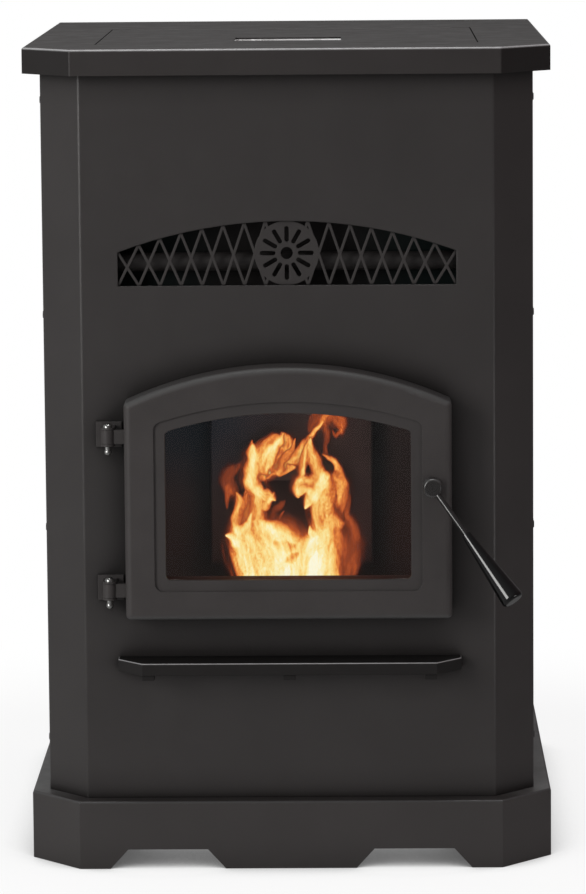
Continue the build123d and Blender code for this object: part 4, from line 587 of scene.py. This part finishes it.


# Flames: strokes, each with its heat and points (x, height, half width) in mm.
FLAMES = {
    "left_column": (0.76, [
        (-41.3, 371.3, 13.6), (-42.6, 383.1, 10.9), (-41.8, 394.9, 10), (-40.9, 406.7, 10.9),
        (-45.2, 415.5, 10.9), (-49.5, 424.4, 9.5), (-51.6, 433.2, 8.8), (-49.3, 443.5, 9.5),
        (-45.2, 453.8, 9.1), (-44.5, 462.6, 6.4), (-44, 470.6, 0.9),
    ]),
    "left_blob": (0.85, [
        (-42.3, 414.1, 8.8), (-33.6, 408.9, 8.4), (-26.4, 404.8, 6.2), (-20.3, 401.9, 1.4),
    ]),
    "upper_left": (0.72, [
        (-44.9, 452.3, 7.5), (-37.6, 456.7, 10.9), (-30.3, 461.8, 11.3), (-24.4, 469.1, 8.7),
        (-17.8, 475.6, 6.4), (-12.4, 482.2, 0.9),
    ]),
    "upper_left_back": (0.68, [
        (-39.2, 440.5, 14.7), (-30.4, 441.9, 14.7), (-20.9, 450.7, 12.7), (-12.1, 458, 11.7),
        (-6.3, 466.8, 9.9), (-7.6, 475.6, 6.6), (-10.1, 481.5, 0.9),
    ]),
    "arch": (0.7, [
        (-33.4, 430.2, 10.4), (-21.8, 434.5, 8), (-10.1, 440.3, 6.5), (-1.3, 446.2, 7.5),
        (5.2, 451.3, 11.9), (11.8, 457.1, 10.4), (17.7, 465.2, 8.8), (23.6, 473.9, 5.4),
        (28.7, 481.2, 3.7), (33.8, 488.5, 2.7), (40.4, 495.8, 1.2),
    ]),
    "arch_edge": (0.66, [
        (-30.5, 430.2, 2.4), (-18.9, 434.2, 2.7), (-8.7, 439.6, 2.7), (0.1, 445.4, 3.2), (3.8, 447.6, 1),
    ]),
    "arch_right": (0.74, [(13.9, 441.7, 7), (17.6, 450.5, 9.8), (21.7, 462.2, 6.1), (25.6, 475.4, 1.1)]),
    "right_upper": (0.72, [
        (36.3, 428.3, 11.7), (32.8, 441.6, 9.5), (29.5, 453.3, 6.4), (27.3, 465.1, 3.8),
        (25.8, 477.1, 0.8),
    ]),
    "knuckle": (0.74, [
        (23.2, 428.4, 7.8), (13.8, 429.2, 9.9), (7.9, 423.3, 8.8), (7.4, 415.2, 7), (8.2, 407.6, 1.2),
    ]),
    "knuckle_low": (0.88, [(27.5, 412.2, 11.3), (21.6, 401.9, 6.8), (16.4, 393.1, 1.6)]),
    "right_column": (0.84, [
        (41.2, 304.4, 21.9), (39.9, 325.1, 23), (40.1, 347.3, 24), (38.8, 365, 19.6), (36.7, 379.7, 15.3),
        (37.5, 394.5, 16.3), (36.9, 409.2, 16.3), (39.9, 420.9, 13.1), (40.7, 429.8, 8),
    ]),
    "right_outer": (0.64, [
        (54.8, 373.7, 10.3), (54.2, 388.5, 9.9), (58.7, 403.2, 12.2), (60.2, 416.4, 11.3),
        (58.4, 428.2, 8.6), (58.4, 437.7, 5.9), (53.9, 445.9, 4.3), (46.6, 451, 3), (40.1, 455.9, 0.9),
    ]),
    "right_wisp": (0.36, [
        (66.7, 304.3, 9.2), (70.5, 325, 12.5), (73.8, 345.6, 13.7), (74.8, 360.4, 10.3),
        (69.4, 374.4, 8.7), (65.1, 384, 5.6), (68.4, 397.2, 3.3), (69.6, 406.8, 1),
    ]),
    "top_curl": (0.33, [
        (24.8, 487.8, 5.1), (28.1, 495.2, 7.8), (35.4, 501, 9.9), (44.8, 502.4, 10.1), (54.2, 502.3, 9.5),
        (61.2, 496.4, 7.8), (62.6, 489.1, 6.6), (58.2, 482.5, 5.1), (51.5, 481.4, 2.7), (48.6, 487, 0.8),
    ]),
    "top_fold": (0.45, [
        (28, 479.8, 2), (33.8, 489.7, 3.9), (40, 497, 5.2), (48.4, 502.8, 4.3), (55, 506.3, 1),
    ]),
    "curl_fill": (0.3, [(34, 488, 5), (42, 496, 8), (50, 496, 9), (57, 491, 6), (60, 484, 1)]),
    "crown_fill": (0.6, [(-42, 446, 7), (-32, 452, 9), (-22, 460, 8), (-14, 468, 5), (-11, 476, 1)]),
    "hot_core": (1.2, [(-16, 298, 16), (-12, 309, 12), (-6, 320, 6), (-3, 328, 1)]),
    "hot_right": (1.18, [(26, 300, 12), (25, 316, 10), (27, 332, 6), (30, 344, 1)]),
    "top_thread": (0.34, [
        (40.1, 456.2, 3.1), (38.9, 465, 2.7), (41, 475.3, 4.1), (42.5, 485.5, 5.2), (42.6, 492.1, 1.3),
    ]),
    "left_lobe": (0.28, [
        (-64.1, 391.3, 4.7), (-67.2, 403.1, 6.3), (-72.6, 412.7, 9.5), (-78.3, 423.1, 10.3),
        (-78.2, 432.6, 9), (-71.2, 440, 7.8), (-64.1, 444.3, 4.3), (-61.2, 446.8, 0.8),
    ]),
    "left_drip": (0.36, [(-77.2, 415.7, 6.6), (-79.4, 402.5, 3), (-79.9, 391.4, 0.9)]),
    "left_lick": (0.66, [
        (-69, 364.8, 4.9), (-65.9, 377.4, 6.2), (-62.1, 387.7, 6.6), (-58.8, 396.5, 6.6),
        (-55.2, 405, 3.2), (-53.1, 410.4, 0.8),
    ]),
    "left_lick_back": (0.5, [
        (-57.2, 375.8, 5.7), (-52.7, 387.6, 6.9), (-50.9, 397.9, 5.7), (-53.3, 408.2, 3.2),
        (-52.2, 418.5, 0.8),
    ]),
    "bottom_left": (0.98, [
        (-46.2, 304.9, 18.7), (-48.3, 321.2, 19.7), (-52.9, 336, 20.4), (-55.7, 349.3, 20.1),
        (-58.5, 359.6, 13.8), (-54.4, 371.4, 6.1), (-49.3, 384.9, 0.9),
    ]),
    "left_tip": (0.9, [(-67.7, 350.8, 7.3), (-72.7, 356, 4.4), (-78.5, 358.5, 0.7)]),
    "bottom_middle": (1.02, [
        (-17.1, 304.7, 36.4), (-14, 318, 35.7), (-13.2, 332.8, 32.8), (-16.7, 346.1, 28.4),
        (-22.4, 357.9, 21.8), (-29.6, 368.3, 11.4), (-37.5, 378.7, 2.6),
    ]),
    "shelf": (0.78, [(8.1, 351.1, 5.8), (-2.1, 356.4, 9), (-13.7, 362.3, 9.6), (-25.3, 368.3, 8.7)]),
    "bottom_right": (0.98, [
        (19.4, 304.5, 29.1), (19.5, 320.8, 29.1), (21.4, 335.6, 22.6), (24.4, 348.8, 16),
        (27.8, 357.7, 8.7), (23, 364.3, 4.1), (21, 371, 0.6),
    ]),
    "inner_wisp": (0.3, [
        (-25.2, 375.7, 2.6), (-22.2, 386, 4.7), (-16.3, 393.3, 5.2), (-10.5, 399.2, 2.3),
        (-8.1, 402.4, 0.6),
    ]),
    "inner_spark": (0.42, [(-14.7, 377.8, 1), (-12, 384.4, 1.9), (-8.8, 388.5, 0.6)]),
    "roof_glow": (0.16, [
        (-48.8, 503.7, 2.9), (-38.6, 507.3, 4.9), (-26.9, 509.4, 3.5), (-21.1, 510.1, 0.7),
    ]),
    "left_tip_high": (0.66, [
        (-51.3, 429.4, 7.9), (-48.7, 444.4, 7.4), (-46.5, 460.4, 4.5), (-45.4, 474.4, 1),
    ]),
    "crown_tip": (0.86, [
        (-34.3, 442.3, 8.4), (-24.3, 457.3, 8.4), (-15.2, 470.3, 5.4), (-9.7, 484.2, 1),
    ]),
    "arch_tip": (0.6, [(-21.4, 438.2, 6.9), (-9.4, 451.2, 5.9), (-1.4, 464.2, 3.5), (3.6, 475.2, 1)]),
    "right_tip": (0.66, [(7.2, 429, 5.9), (15.3, 444, 5.9), (21.4, 460, 4), (23, 477.5, 1)]),
    "left_side": (0.6, [(-64.8, 362.6, 5), (-68.6, 380.2, 4.5), (-62.5, 397.8, 4), (-64.4, 410.4, 1)]),
    "right_side": (0.5, [
        (55.6, 399.7, 6), (62.7, 413.7, 5), (64.2, 428.7, 4), (58.9, 441.8, 3), (48.1, 452.9, 1),
    ]),
    "knuckle_lick": (0.8, [(26.9, 409.9, 6.9), (19, 416.9, 6.4), (11.1, 414, 5), (6.2, 418, 1)]),
    "blob_lick": (0.6, [(-32.7, 395.1, 6.9), (-26.7, 404.1, 5), (-21.7, 410.1, 1)]),
}
# Cooler marks inside the flames.
COOLER = [
    (0.4, [(-18.1, 351.3, 2.3), (-8, 347.5, 3.8), (1.5, 348.7, 1.7)]),
    (0.62, [(-5.9, 332, 1.2), (-0.5, 335.7, 3.2), (6.5, 339.8, 1.5)]),
    (0.3, [(-73.2, 351.6, 2.3), (-70.9, 342, 1.7)]),
    (0.4, [(54.8, 407.6, 1.2), (54.2, 394.4, 3.5), (57.1, 384.1, 3.2), (62.1, 375.2, 1.5)]),
    (0.5, [(21.5, 435.8, 3.5), (20.4, 446, 2), (21.4, 459.3, 1.3), (22.9, 468.1, 0.6)]),
    (0.42, [(-20.3, 441.9, 2), (-15.8, 450.7, 3.8), (-14, 459.5, 3.2), (-15.7, 466.1, 1.2)]),
    (0.35, [(-34.3, 418.4, 1.7), (-36.1, 428.7, 1.9), (-38, 437.6, 1)]),
    (0.3, [(43.7, 443.7, 2.3), (49.5, 441.5, 2.9), (46.5, 437.1, 1.5)]),
    (0.3, [(56.7, 435.6, 1.7), (58.4, 429.7, 2)]),
    (0.18, [(36.1, 398.9, 4.4), (34.5, 384.2, 4.9), (38.1, 370.9, 2.9)]),
    (0.2, [(57.5, 342.8, 2.3), (59.6, 328, 2), (61.7, 314.7, 1.5)]),
    (0.22, [(-20.6, 318.1, 1.2), (-19.2, 306.2, 1.5)]),
    (0.25, [(-44.7, 393.5, 1.5), (-45.5, 380.2, 1.7)]),
]
BEHIND = (
    "upper_left_back arch right_wisp top_curl top_fold top_thread left_lobe left_drip left_lick_back "
    "inner_wisp inner_spark roof_glow curl_fill crown_fill"
).split()
# The sheets' grid in mm, and how the strokes turn into heat and form.
FLAME_STEP = 0.8
FLAME_X = (-100.0, 100.0)
FLAME_Z = (298.0, 516.0)
FRONT_DEPTH, BACK_DEPTH = 180, 196
STROKE_SAMPLES = 220
SOFT_EDGE, EDGE_SHARE = 1.7, 0.46
HOTTEST, FAINTEST = 1.2, 0.03
COOLING, COOL_SPREAD = 0.5, 1.8
POT_TOP, LEAN_RISE, LEAN_DEPTH = 318, 34, 28
RELIEF, HIGHEST_RELIEF = 11, 1.1
CALM_BELOW, WILDER_OVER = 290, 130
# Wavelength and size of the flicker that bends the strokes.
FLICKER = ((24, 2.4), (10, 1.5), (4.5, 0.8))


def value_noise(x, y, seed):
    """Smooth noise from -1 to 1 on a unit lattice."""
    corner_x, corner_y = np.floor(x), np.floor(y)
    x, y = x - corner_x, y - corner_y
    x, y = x * x * (3 - 2 * x), y * y * (3 - 2 * y)

    def level(step_x, step_y):
        raw = np.sin((corner_x + step_x) * 127.1 + (corner_y + step_y) * 311.7 + seed * 74.7) * 43758.5453
        return 2 * (raw - np.floor(raw)) - 1

    near = level(0, 0) * (1 - x) + level(1, 0) * x
    far = level(0, 1) * (1 - x) + level(1, 1) * x
    return near * (1 - y) + far * y


def stroke_field(xs, zs, points, grow=1.0):
    """A stroke's fullness, 1 on its spine and 0 at its edge, and the places along and across it."""
    nearest = np.full(xs.shape, 9.0)
    along, across = np.zeros(xs.shape), np.zeros(xs.shape)
    travelled, last_x, last_z = 0.0, *points[0][:2]
    for number in range(STROKE_SAMPLES + 1):
        x, z, half = smooth_point(points, number / STROKE_SAMPLES)
        half = max(half, 0.4) * grow
        step = math.hypot(x - last_x, z - last_z)
        if step > 0:
            run_x, run_z = (x - last_x) / step, (z - last_z) / step
        else:
            run_x, run_z = 0.0, 1.0
        travelled, last_x, last_z = travelled + step, x, z
        near = np.nonzero((np.abs(xs - x) < half) & (np.abs(zs - z) < half))[0]
        away = np.hypot(xs[near] - x, zs[near] - z) / half
        closer = away < nearest[near]
        near = near[closer]
        nearest[near] = away[closer]
        along[near] = travelled
        across[near] = (xs[near] - x) * run_z - (zs[near] - z) * run_x
    return np.clip(1 - nearest**2, 0, 1), along, across


def stroke_heat(xs, zs, strength, points, seed):
    """Heat of one stroke: a bright body drawn out in threads along it, in a dimmer soft edge."""

    def drawn_out(width, length, step):
        """Noise in threads of this width and length in mm along the stroke."""
        return value_noise(across / width, along / length, seed + step)

    full, along, across = stroke_field(xs, zs, points)
    threads = 0.6 * drawn_out(6, 26, 0) + 0.4 * drawn_out(2.6, 14, 3)
    bright = (1 - np.abs(drawn_out(6.5, 34, 5))) ** 6
    dark = (1 - np.abs(drawn_out(9, 30, 7))) ** 3
    body = strength * full**0.5 * (1 + 0.26 * threads + 0.16 * bright - 0.2 * dark)
    soft, along, across = stroke_field(xs, zs, points, SOFT_EDGE)
    edge = strength * EDGE_SHARE * soft**1.3 * (1 + 0.7 * drawn_out(4, 20, 11))
    return np.maximum(body, edge)


def flame_sheet(name, names, depth, seed):
    """Relief sheet of flame: its strokes' heats run together, and hot parts stand forward."""
    columns = np.arange(FLAME_X[0], FLAME_X[1], FLAME_STEP)
    rows = np.arange(FLAME_Z[0], FLAME_Z[1], FLAME_STEP)
    xs, zs = (grid.ravel() for grid in np.meshgrid(columns, rows))
    wild = np.clip((zs - CALM_BELOW) / WILDER_OVER, 0.3, 1.25)
    stir_x, stir_z = np.zeros(xs.shape), np.zeros(xs.shape)
    for wave, size in FLICKER:
        stir_x += size * value_noise(xs / wave, zs / wave / 1.5, seed + wave)
        stir_z += 1.6 * size * value_noise(xs / wave, zs / wave / 1.5, seed + wave + 40)
    bent_x, bent_z = xs + stir_x * wild, zs + stir_z * wild
    heat = np.zeros(xs.shape)
    for number, key in enumerate(names):
        strength, points = FLAMES[key]
        heat += np.maximum(stroke_heat(bent_x, bent_z, strength, points, seed + 13 * number), 0) ** 3
    heat = np.minimum(np.cbrt(heat), HOTTEST)
    for strength, points in COOLER:
        mark = stroke_field(bent_x, bent_z, points, COOL_SPREAD)[0]
        heat = np.maximum(heat - COOLING * strength * mark, 0)
    back = np.clip((zs - POT_TOP) / LEAN_RISE, 0, 1)
    back = back * back * (3 - 2 * back)
    ys = depth + (back - 1) * LEAN_DEPTH - RELIEF * np.minimum(heat, HIGHEST_RELIEF) + 2 * stir_x
    across, kept = len(columns), heat.reshape(len(rows), len(columns)) > FAINTEST
    form = bmesh.new()
    verts, layer = {}, form.verts.layers.float.new("warmth")

    def vert(row, column):
        key = row * across + column
        if key not in verts:
            verts[key] = form.verts.new((xs[key] * MM, at(ys[key]), zs[key] * MM))
            verts[key][layer] = heat[key]
        return verts[key]

    for row in range(len(rows) - 1):
        for column in range(across - 1):
            if kept[row : row + 2, column : column + 2].any():
                corners = ((row, column), (row, column + 1), (row + 1, column + 1), (row + 1, column))
                form.faces.new([vert(*corner) for corner in corners]).smooth = True
    mesh = bpy.data.meshes.new(name)
    form.to_mesh(mesh)
    form.free()
    return mesh


front_names = [name for name in FLAMES if name not in BEHIND]
for name, names, depth, seed in (
    ("flame_front", front_names, FRONT_DEPTH, 1),
    ("flame_back", BEHIND, BACK_DEPTH, 4),
):
    piece = add_piece(name, flame_sheet(name, names, depth, seed), fire(name, seed), "cabinet")
    piece.visible_shadow = False


PELLET_RADIUS = 3.1
PELLET_SIDES = 14
POT_DEPTH = 197
CHAR_ROUGHNESS, WORN_RIM = 0.4, 0.5
RIM_ANGLE = 1.2


def pellet_heap(name, count, half_x, half_y, low, high, seed):
    """Ember bed: short pellets heaped in the burn pot, sizes and places in mm."""
    draws = random.Random(seed)
    mesh = bpy.data.meshes.new(name)
    form = bmesh.new()
    pot_low, pot_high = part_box("burn_pot")
    middle = (pot_low + pot_high) / 2
    for _ in range(count):
        x, y = draws.uniform(-half_x, half_x), draws.uniform(-half_y, half_y)
        crown = 1 - 0.5 * (x / half_x) ** 2 - 0.3 * (y / half_y) ** 2
        z = low + (high - low) * crown * draws.uniform(0.55, 1.0)
        turn = Matrix.Rotation(draws.uniform(0, math.tau), 4, "Z") @ Matrix.Rotation(
            math.pi / 2 + draws.uniform(-0.5, 0.5), 4, "X"
        )
        length = draws.uniform(9, 15)
        bmesh.ops.create_cone(
            form,
            cap_ends=True,
            segments=PELLET_SIDES,
            radius1=PELLET_RADIUS * MM,
            radius2=PELLET_RADIUS * MM,
            depth=length * MM,
            matrix=Matrix.Translation((middle.x + x * MM, at(POT_DEPTH + y), z * MM)) @ turn,
        )
    for vertex in form.verts:
        vertex.co += vertex.co.normalized() * noise.noise(vertex.co * 900) * CHAR_ROUGHNESS * MM
    rims = [edge for edge in form.edges if edge.calc_face_angle(0) > RIM_ANGLE]
    bmesh.ops.bevel(form, geom=rims, offset=WORN_RIM * MM, segments=1, affect="EDGES")
    for face in form.faces:
        face.smooth = True
    form.to_mesh(mesh)
    form.free()
    return mesh


embers = pellet_heap("ember_bed", count=110, half_x=40, half_y=22, low=272, high=311, seed=4)
add_piece("ember_bed", embers, ember("embers"), "cabinet")


# Seals: each follows the middle of the CAD ring that it replaces.
WELD, FLATNESS = 1e-6, 1e-5
NEAR_BOTTOM = 0.02
SQUARENESS = 3


def ring_loops(node, axis):
    """The outer and inner edge loops of a flat ring, on its face with the lower axis value."""
    form = bmesh.new()
    form.from_mesh(nodes[node].data)
    bmesh.ops.remove_doubles(form, verts=form.verts, dist=WELD)
    level = min(v.co[axis] for v in form.verts)

    def is_flat(face):
        return all(abs(v.co[axis] - level) < FLATNESS for v in face.verts)

    rim = [e for e in form.edges if len(e.link_faces) == 2 and sum(map(is_flat, e.link_faces)) == 1]
    follow = {}
    for edge in rim:
        for v, w in (edge.verts, reversed(edge.verts)):
            follow.setdefault(v.index, []).append(w.index)
    form.verts.ensure_lookup_table()
    loops = []
    while follow:
        start = next(iter(follow))
        loop, here, last = [], start, None
        while here in follow:
            loop.append(form.verts[here].co.copy())
            nexts = [n for n in follow.pop(here) if n != last]
            last = here
            here = next((n for n in nexts if n in follow), start)
        loops.append(loop)
    form.free()
    loops.sort(key=lambda loop: -sum((a - b).length for a, b in zip(loop, loop[1:] + loop[:1])))
    return loops[0], loops[1]


def resample(loop, count, axis):
    """Even points round a loop, starting below its middle and going one way round."""
    flat = [i for i in range(3) if i != axis]
    area = sum(a[flat[0]] * b[flat[1]] - b[flat[0]] * a[flat[1]] for a, b in zip(loop, loop[1:] + loop[:1]))
    if area < 0:
        loop = loop[::-1]
    ends = loop[1:] + loop[:1]
    lengths = [(b - a).length for a, b in zip(loop, ends)]
    whole = sum(lengths)
    middle = sum(v[flat[0]] for v in loop) / len(loop)
    low = min(v[flat[1]] for v in loop)
    start = 0.0
    for (a, b), run in zip(zip(loop, ends), lengths):
        crosses = (a[flat[0]] - middle) * (b[flat[0]] - middle) <= 0 and run > 0
        if crosses and max(a[flat[1]], b[flat[1]]) < low + NEAR_BOTTOM:
            start += run * abs(a[flat[0]] - middle) / max(abs(a[flat[0]] - b[flat[0]]), 1e-9)
            break
        start += run
    points = []
    for number in range(count):
        target = (start + whole * number / count) % whole
        for (a, b), run in zip(zip(loop, ends), lengths):
            if target <= run:
                points.append(a.lerp(b, target / run if run else 0))
                break
            target -= run
    return points


def seal_ring(name, node, axis, count, around, relief):
    """Closed tube along a ring's middle, its section shaped to the ring and its skin by relief."""
    outer, inner = ring_loops(node, axis)
    outer, inner = resample(outer, count, axis), resample(inner, count, axis)
    low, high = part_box(node)
    half_deep = (high[axis] - low[axis]) / 2
    along_axis = Vector([1.0 if i == axis else 0.0 for i in range(3)])
    centres = [(a + b) / 2 + along_axis * half_deep for a, b in zip(outer, inner)]
    mesh = bpy.data.meshes.new(name)
    form = bmesh.new()
    rows = []
    travelled = 0.0
    for number, centre in enumerate(centres):
        ahead = centres[(number + 1) % count] - centres[number - 1]
        outward = ahead.normalized().cross(along_axis).normalized()
        half_wide = (outer[number] - inner[number]).length / 2
        row = []
        for spoke in range(around):
            angle = math.tau * spoke / around
            swell = 1 - relief(travelled, angle)
            fullness = abs(math.cos(angle)) ** SQUARENESS + abs(math.sin(angle)) ** SQUARENESS
            corner = fullness ** (-1 / SQUARENESS)
            row.append(
                form.verts.new(
                    centre
                    + outward * math.cos(angle) * corner * half_wide * swell
                    + along_axis * math.sin(angle) * corner * half_deep * swell
                )
            )
        rows.append(row)
        travelled += ahead.length / 2
    for number in range(count):
        this, following = rows[number], rows[(number + 1) % count]
        for spoke in range(around):
            corners = (this[spoke], this[spoke - 1], following[spoke - 1], following[spoke])
            form.faces.new(corners).smooth = True
    bmesh.ops.recalc_face_normals(form, faces=form.faces)
    form.to_mesh(mesh)
    form.free()
    return mesh


STRAND_PITCH, RIB_PITCH = 0.009, 0.0025


def knit_relief(travelled, angle):
    """Crossing strands round a braided rope."""
    turn = travelled / STRAND_PITCH * math.tau
    return 0.14 * (1 - max(abs(math.sin(turn / 2 + angle)), abs(math.sin(turn / 2 - angle))))


def tape_relief(travelled, angle):
    """Fine cross ribs of a woven tape."""
    return 0.05 * (0.5 + 0.5 * math.sin(travelled / RIB_PITCH * math.tau)) * abs(math.cos(angle))


def foam_relief(travelled, angle):
    """Slight unevenness of a foam strip."""
    return 0.03 * (0.5 + 0.5 * noise.noise(Vector((travelled * 120, angle, 0))))


for name, node, axis, count, around, relief, look, slot, body in (
    ("rope_seal", "door_rope", 1, 900, 14, knit_relief, fibre, "rope", "door"),
    ("glass_tape", "glass_gasket", 1, 700, 8, tape_relief, fibre, "rope", "door"),
    ("lid_foam", "lid_gasket", 2, 300, 10, foam_relief, seal, "soft_seal", "lid"),
):
    piece = add_piece(name, seal_ring(name, node, axis, count, around, relief), look, body, slot)
    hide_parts(node)


# ---------------------------------------------------------------- floor, light and camera
# The surroundings' brightness from left to right: as mirrored in gloss, and as they light the object.
GLOSS_LEFT, GLOSS_RIGHT = 0.34, 0.1
SPREAD_LEFT, SPREAD_RIGHT = 0.4, 0.62
WHITE, RIGHT_TINT = (1.0, 1.0, 1.0), (1.0, 0.8, 0.8)
# The floor's contact shadow, in metres round the object.
CONTACT_REACH = 0.13
SHADOW_FULL, SHADOW_GONE = 0.6, 1.1
FLOOR_HALF = 60.0


def stage_material():
    """White floor that keeps the contact shadow near the object and is white to the eye elsewhere."""
    t = Tree("studio_floor")
    path = t.node("ShaderNodeLightPath").outputs
    straight = t.math("MAXIMUM", path["Is Camera Ray"], path["Is Transmission Ray"])
    dim = t.remap(t.parts(t.place)[0], -1.0, 1.0, GLOSS_LEFT, GLOSS_RIGHT)
    seen = t.math("MAXIMUM", straight, t.math("MULTIPLY", path["Is Glossy Ray"], dim))
    away = t.node("ShaderNodeVectorMath", links={0: t.place}, operation="LENGTH").outputs["Value"]
    near = t.remap(away, SHADOW_FULL, SHADOW_GONE, 1.0, 0.0, True)
    contact = t.remap(t.openness(CONTACT_REACH, 16), 0.15, 0.78, 0.08, 1.0, True)
    contact = t.math("ADD", 1.0, t.math("MULTIPLY", near, t.math("SUBTRACT", contact, 1.0)))
    spread = t.node("ShaderNodeBsdfDiffuse", {"Color": (0.8, 0.8, 0.8, 1)})
    lift = t.node(
        "ShaderNodeEmission", {"Color": (1, 1, 1, 1)}, {"Strength": t.math("MULTIPLY", seen, contact)}
    )
    share = t.math("MULTIPLY", t.math("GREATER_THAN", seen, 0.0), t.remap(near, 0.0, 1.0, 1.0, 0.87))
    t.cover_with(t.node("ShaderNodeMixShader", links={0: share, 1: spread.outputs[0], 2: lift.outputs[0]}))
    return t.material


floor_mesh = bpy.data.meshes.new("floor")
corners = [(x * FLOOR_HALF, y * FLOOR_HALF, 0) for x, y in ((-1, -1), (1, -1), (1, 1), (-1, 1))]
floor_mesh.from_pydata(corners, [], [(0, 1, 2, 3)])
floor = bpy.data.objects.new("floor", floor_mesh)
bpy.context.scene.collection.objects.link(floor)
floor_mesh.materials.append(stage_material())

world = bpy.data.worlds.new("studio")
bpy.context.scene.world = world
world.use_nodes = True
sky = Graph(world.node_tree, "ShaderNodeOutputWorld")
rays = sky.node("ShaderNodeLightPath").outputs
sideways = sky.parts(sky.node("ShaderNodeTexCoord").outputs["Generated"])[0]
straight = sky.math("MAXIMUM", rays["Is Camera Ray"], rays["Is Transmission Ray"])
mirrored = rays["Is Glossy Ray"]
spread = sky.math("SUBTRACT", 1.0, mirrored)
level = sky.math(
    "ADD",
    sky.math("MULTIPLY", mirrored, sky.remap(sideways, -0.9, 0.9, GLOSS_LEFT, GLOSS_RIGHT, True)),
    sky.math("MULTIPLY", spread, sky.remap(sideways, -0.7, 0.8, SPREAD_LEFT, SPREAD_RIGHT, True)),
)
level = sky.math("MAXIMUM", straight, level)
rightward = sky.remap(sideways, 0.1, 0.8, 0.0, 1.0, True)
unseen = sky.math("SUBTRACT", 1.0, straight)
colour = sky.blend(sky.math("MULTIPLY", rightward, unseen), WHITE, RIGHT_TINT)
sky.cover_with(sky.node("ShaderNodeBackground", links={"Color": colour, "Strength": level}))


def place_lamp(data, name, place):
    """A lamp that lights the object and isn't seen itself, but for a softbox's shine."""
    lamp = bpy.data.objects.new(name, data)
    lamp.location = place
    lamp.visible_camera = lamp.visible_transmission = False
    lamp.visible_glossy = data.type == "AREA"
    bpy.context.scene.collection.objects.link(lamp)
    return lamp


def softbox(name, place, target, width, height, watts, colour=(1, 1, 1)):
    """A rectangular studio light aimed at a point."""
    data = bpy.data.lights.new(name, "AREA")
    data.shape = "RECTANGLE"
    data.size, data.size_y, data.energy, data.color = width, height, watts, colour
    lamp = place_lamp(data, name, place)
    lamp.rotation_euler = (Vector(target) - Vector(place)).to_track_quat("-Z", "Y").to_euler()


softbox("key", (-2.8, -2.8, 1.5), (0, 0, 0.5), width=1.3, height=2.2, watts=95, colour=(1.0, 0.99, 0.97))
softbox("top", (0, -0.25, 2.6), (0, -0.1, 0.95), width=1.0, height=0.6, watts=26)
softbox("low", (1.5, -1.3, 0.2), (0.3, -0.25, 0.1), width=0.7, height=0.4, watts=2.8)
HEARTH_PLACE = (0.01, at(85), 0.43)
hearth = bpy.data.lights.new("hearth", "POINT")
hearth.energy = 0.42
hearth.color = (1.0, 0.45, 0.32)
hearth.shadow_soft_size = 0.04
place_lamp(hearth, "hearth", HEARTH_PLACE)

# The camera that the photograph was taken with, fitted to the object's outlines.
IMAGE_HEIGHT = 894
FOCAL_PIXELS, SHIFT_PIXELS = 4123.7, -134
SENSOR = 36.0
VIEW_LIMIT = 200
CAMERA_PLACE = (0.0826, at(-4715.2), 1.2077)
YAW, PITCH, ROLL = -0.0161, 0.1179, -0.0081
camera_data = bpy.data.cameras.new("camera")
camera_data.sensor_width = SENSOR
camera_data.lens = FOCAL_PIXELS * SENSOR / IMAGE_HEIGHT
camera_data.shift_y = SHIFT_PIXELS / IMAGE_HEIGHT
camera_data.clip_end = VIEW_LIMIT
camera = bpy.data.objects.new("camera", camera_data)
ahead = Vector((math.sin(YAW) * math.cos(PITCH), math.cos(YAW) * math.cos(PITCH), -math.sin(PITCH)))
across = Vector((math.cos(YAW), -math.sin(YAW), 0))
upward = across.cross(ahead)
right = math.cos(ROLL) * across + math.sin(ROLL) * upward
upward = math.cos(ROLL) * upward - math.sin(ROLL) * across
turned = Matrix((right, upward, -ahead)).transposed().to_4x4()
camera.matrix_world = Matrix.Translation(CAMERA_PLACE) @ turned
bpy.context.scene.collection.objects.link(camera)
bpy.context.scene.camera = camera
bpy.context.scene.view_settings.view_transform = "Standard"
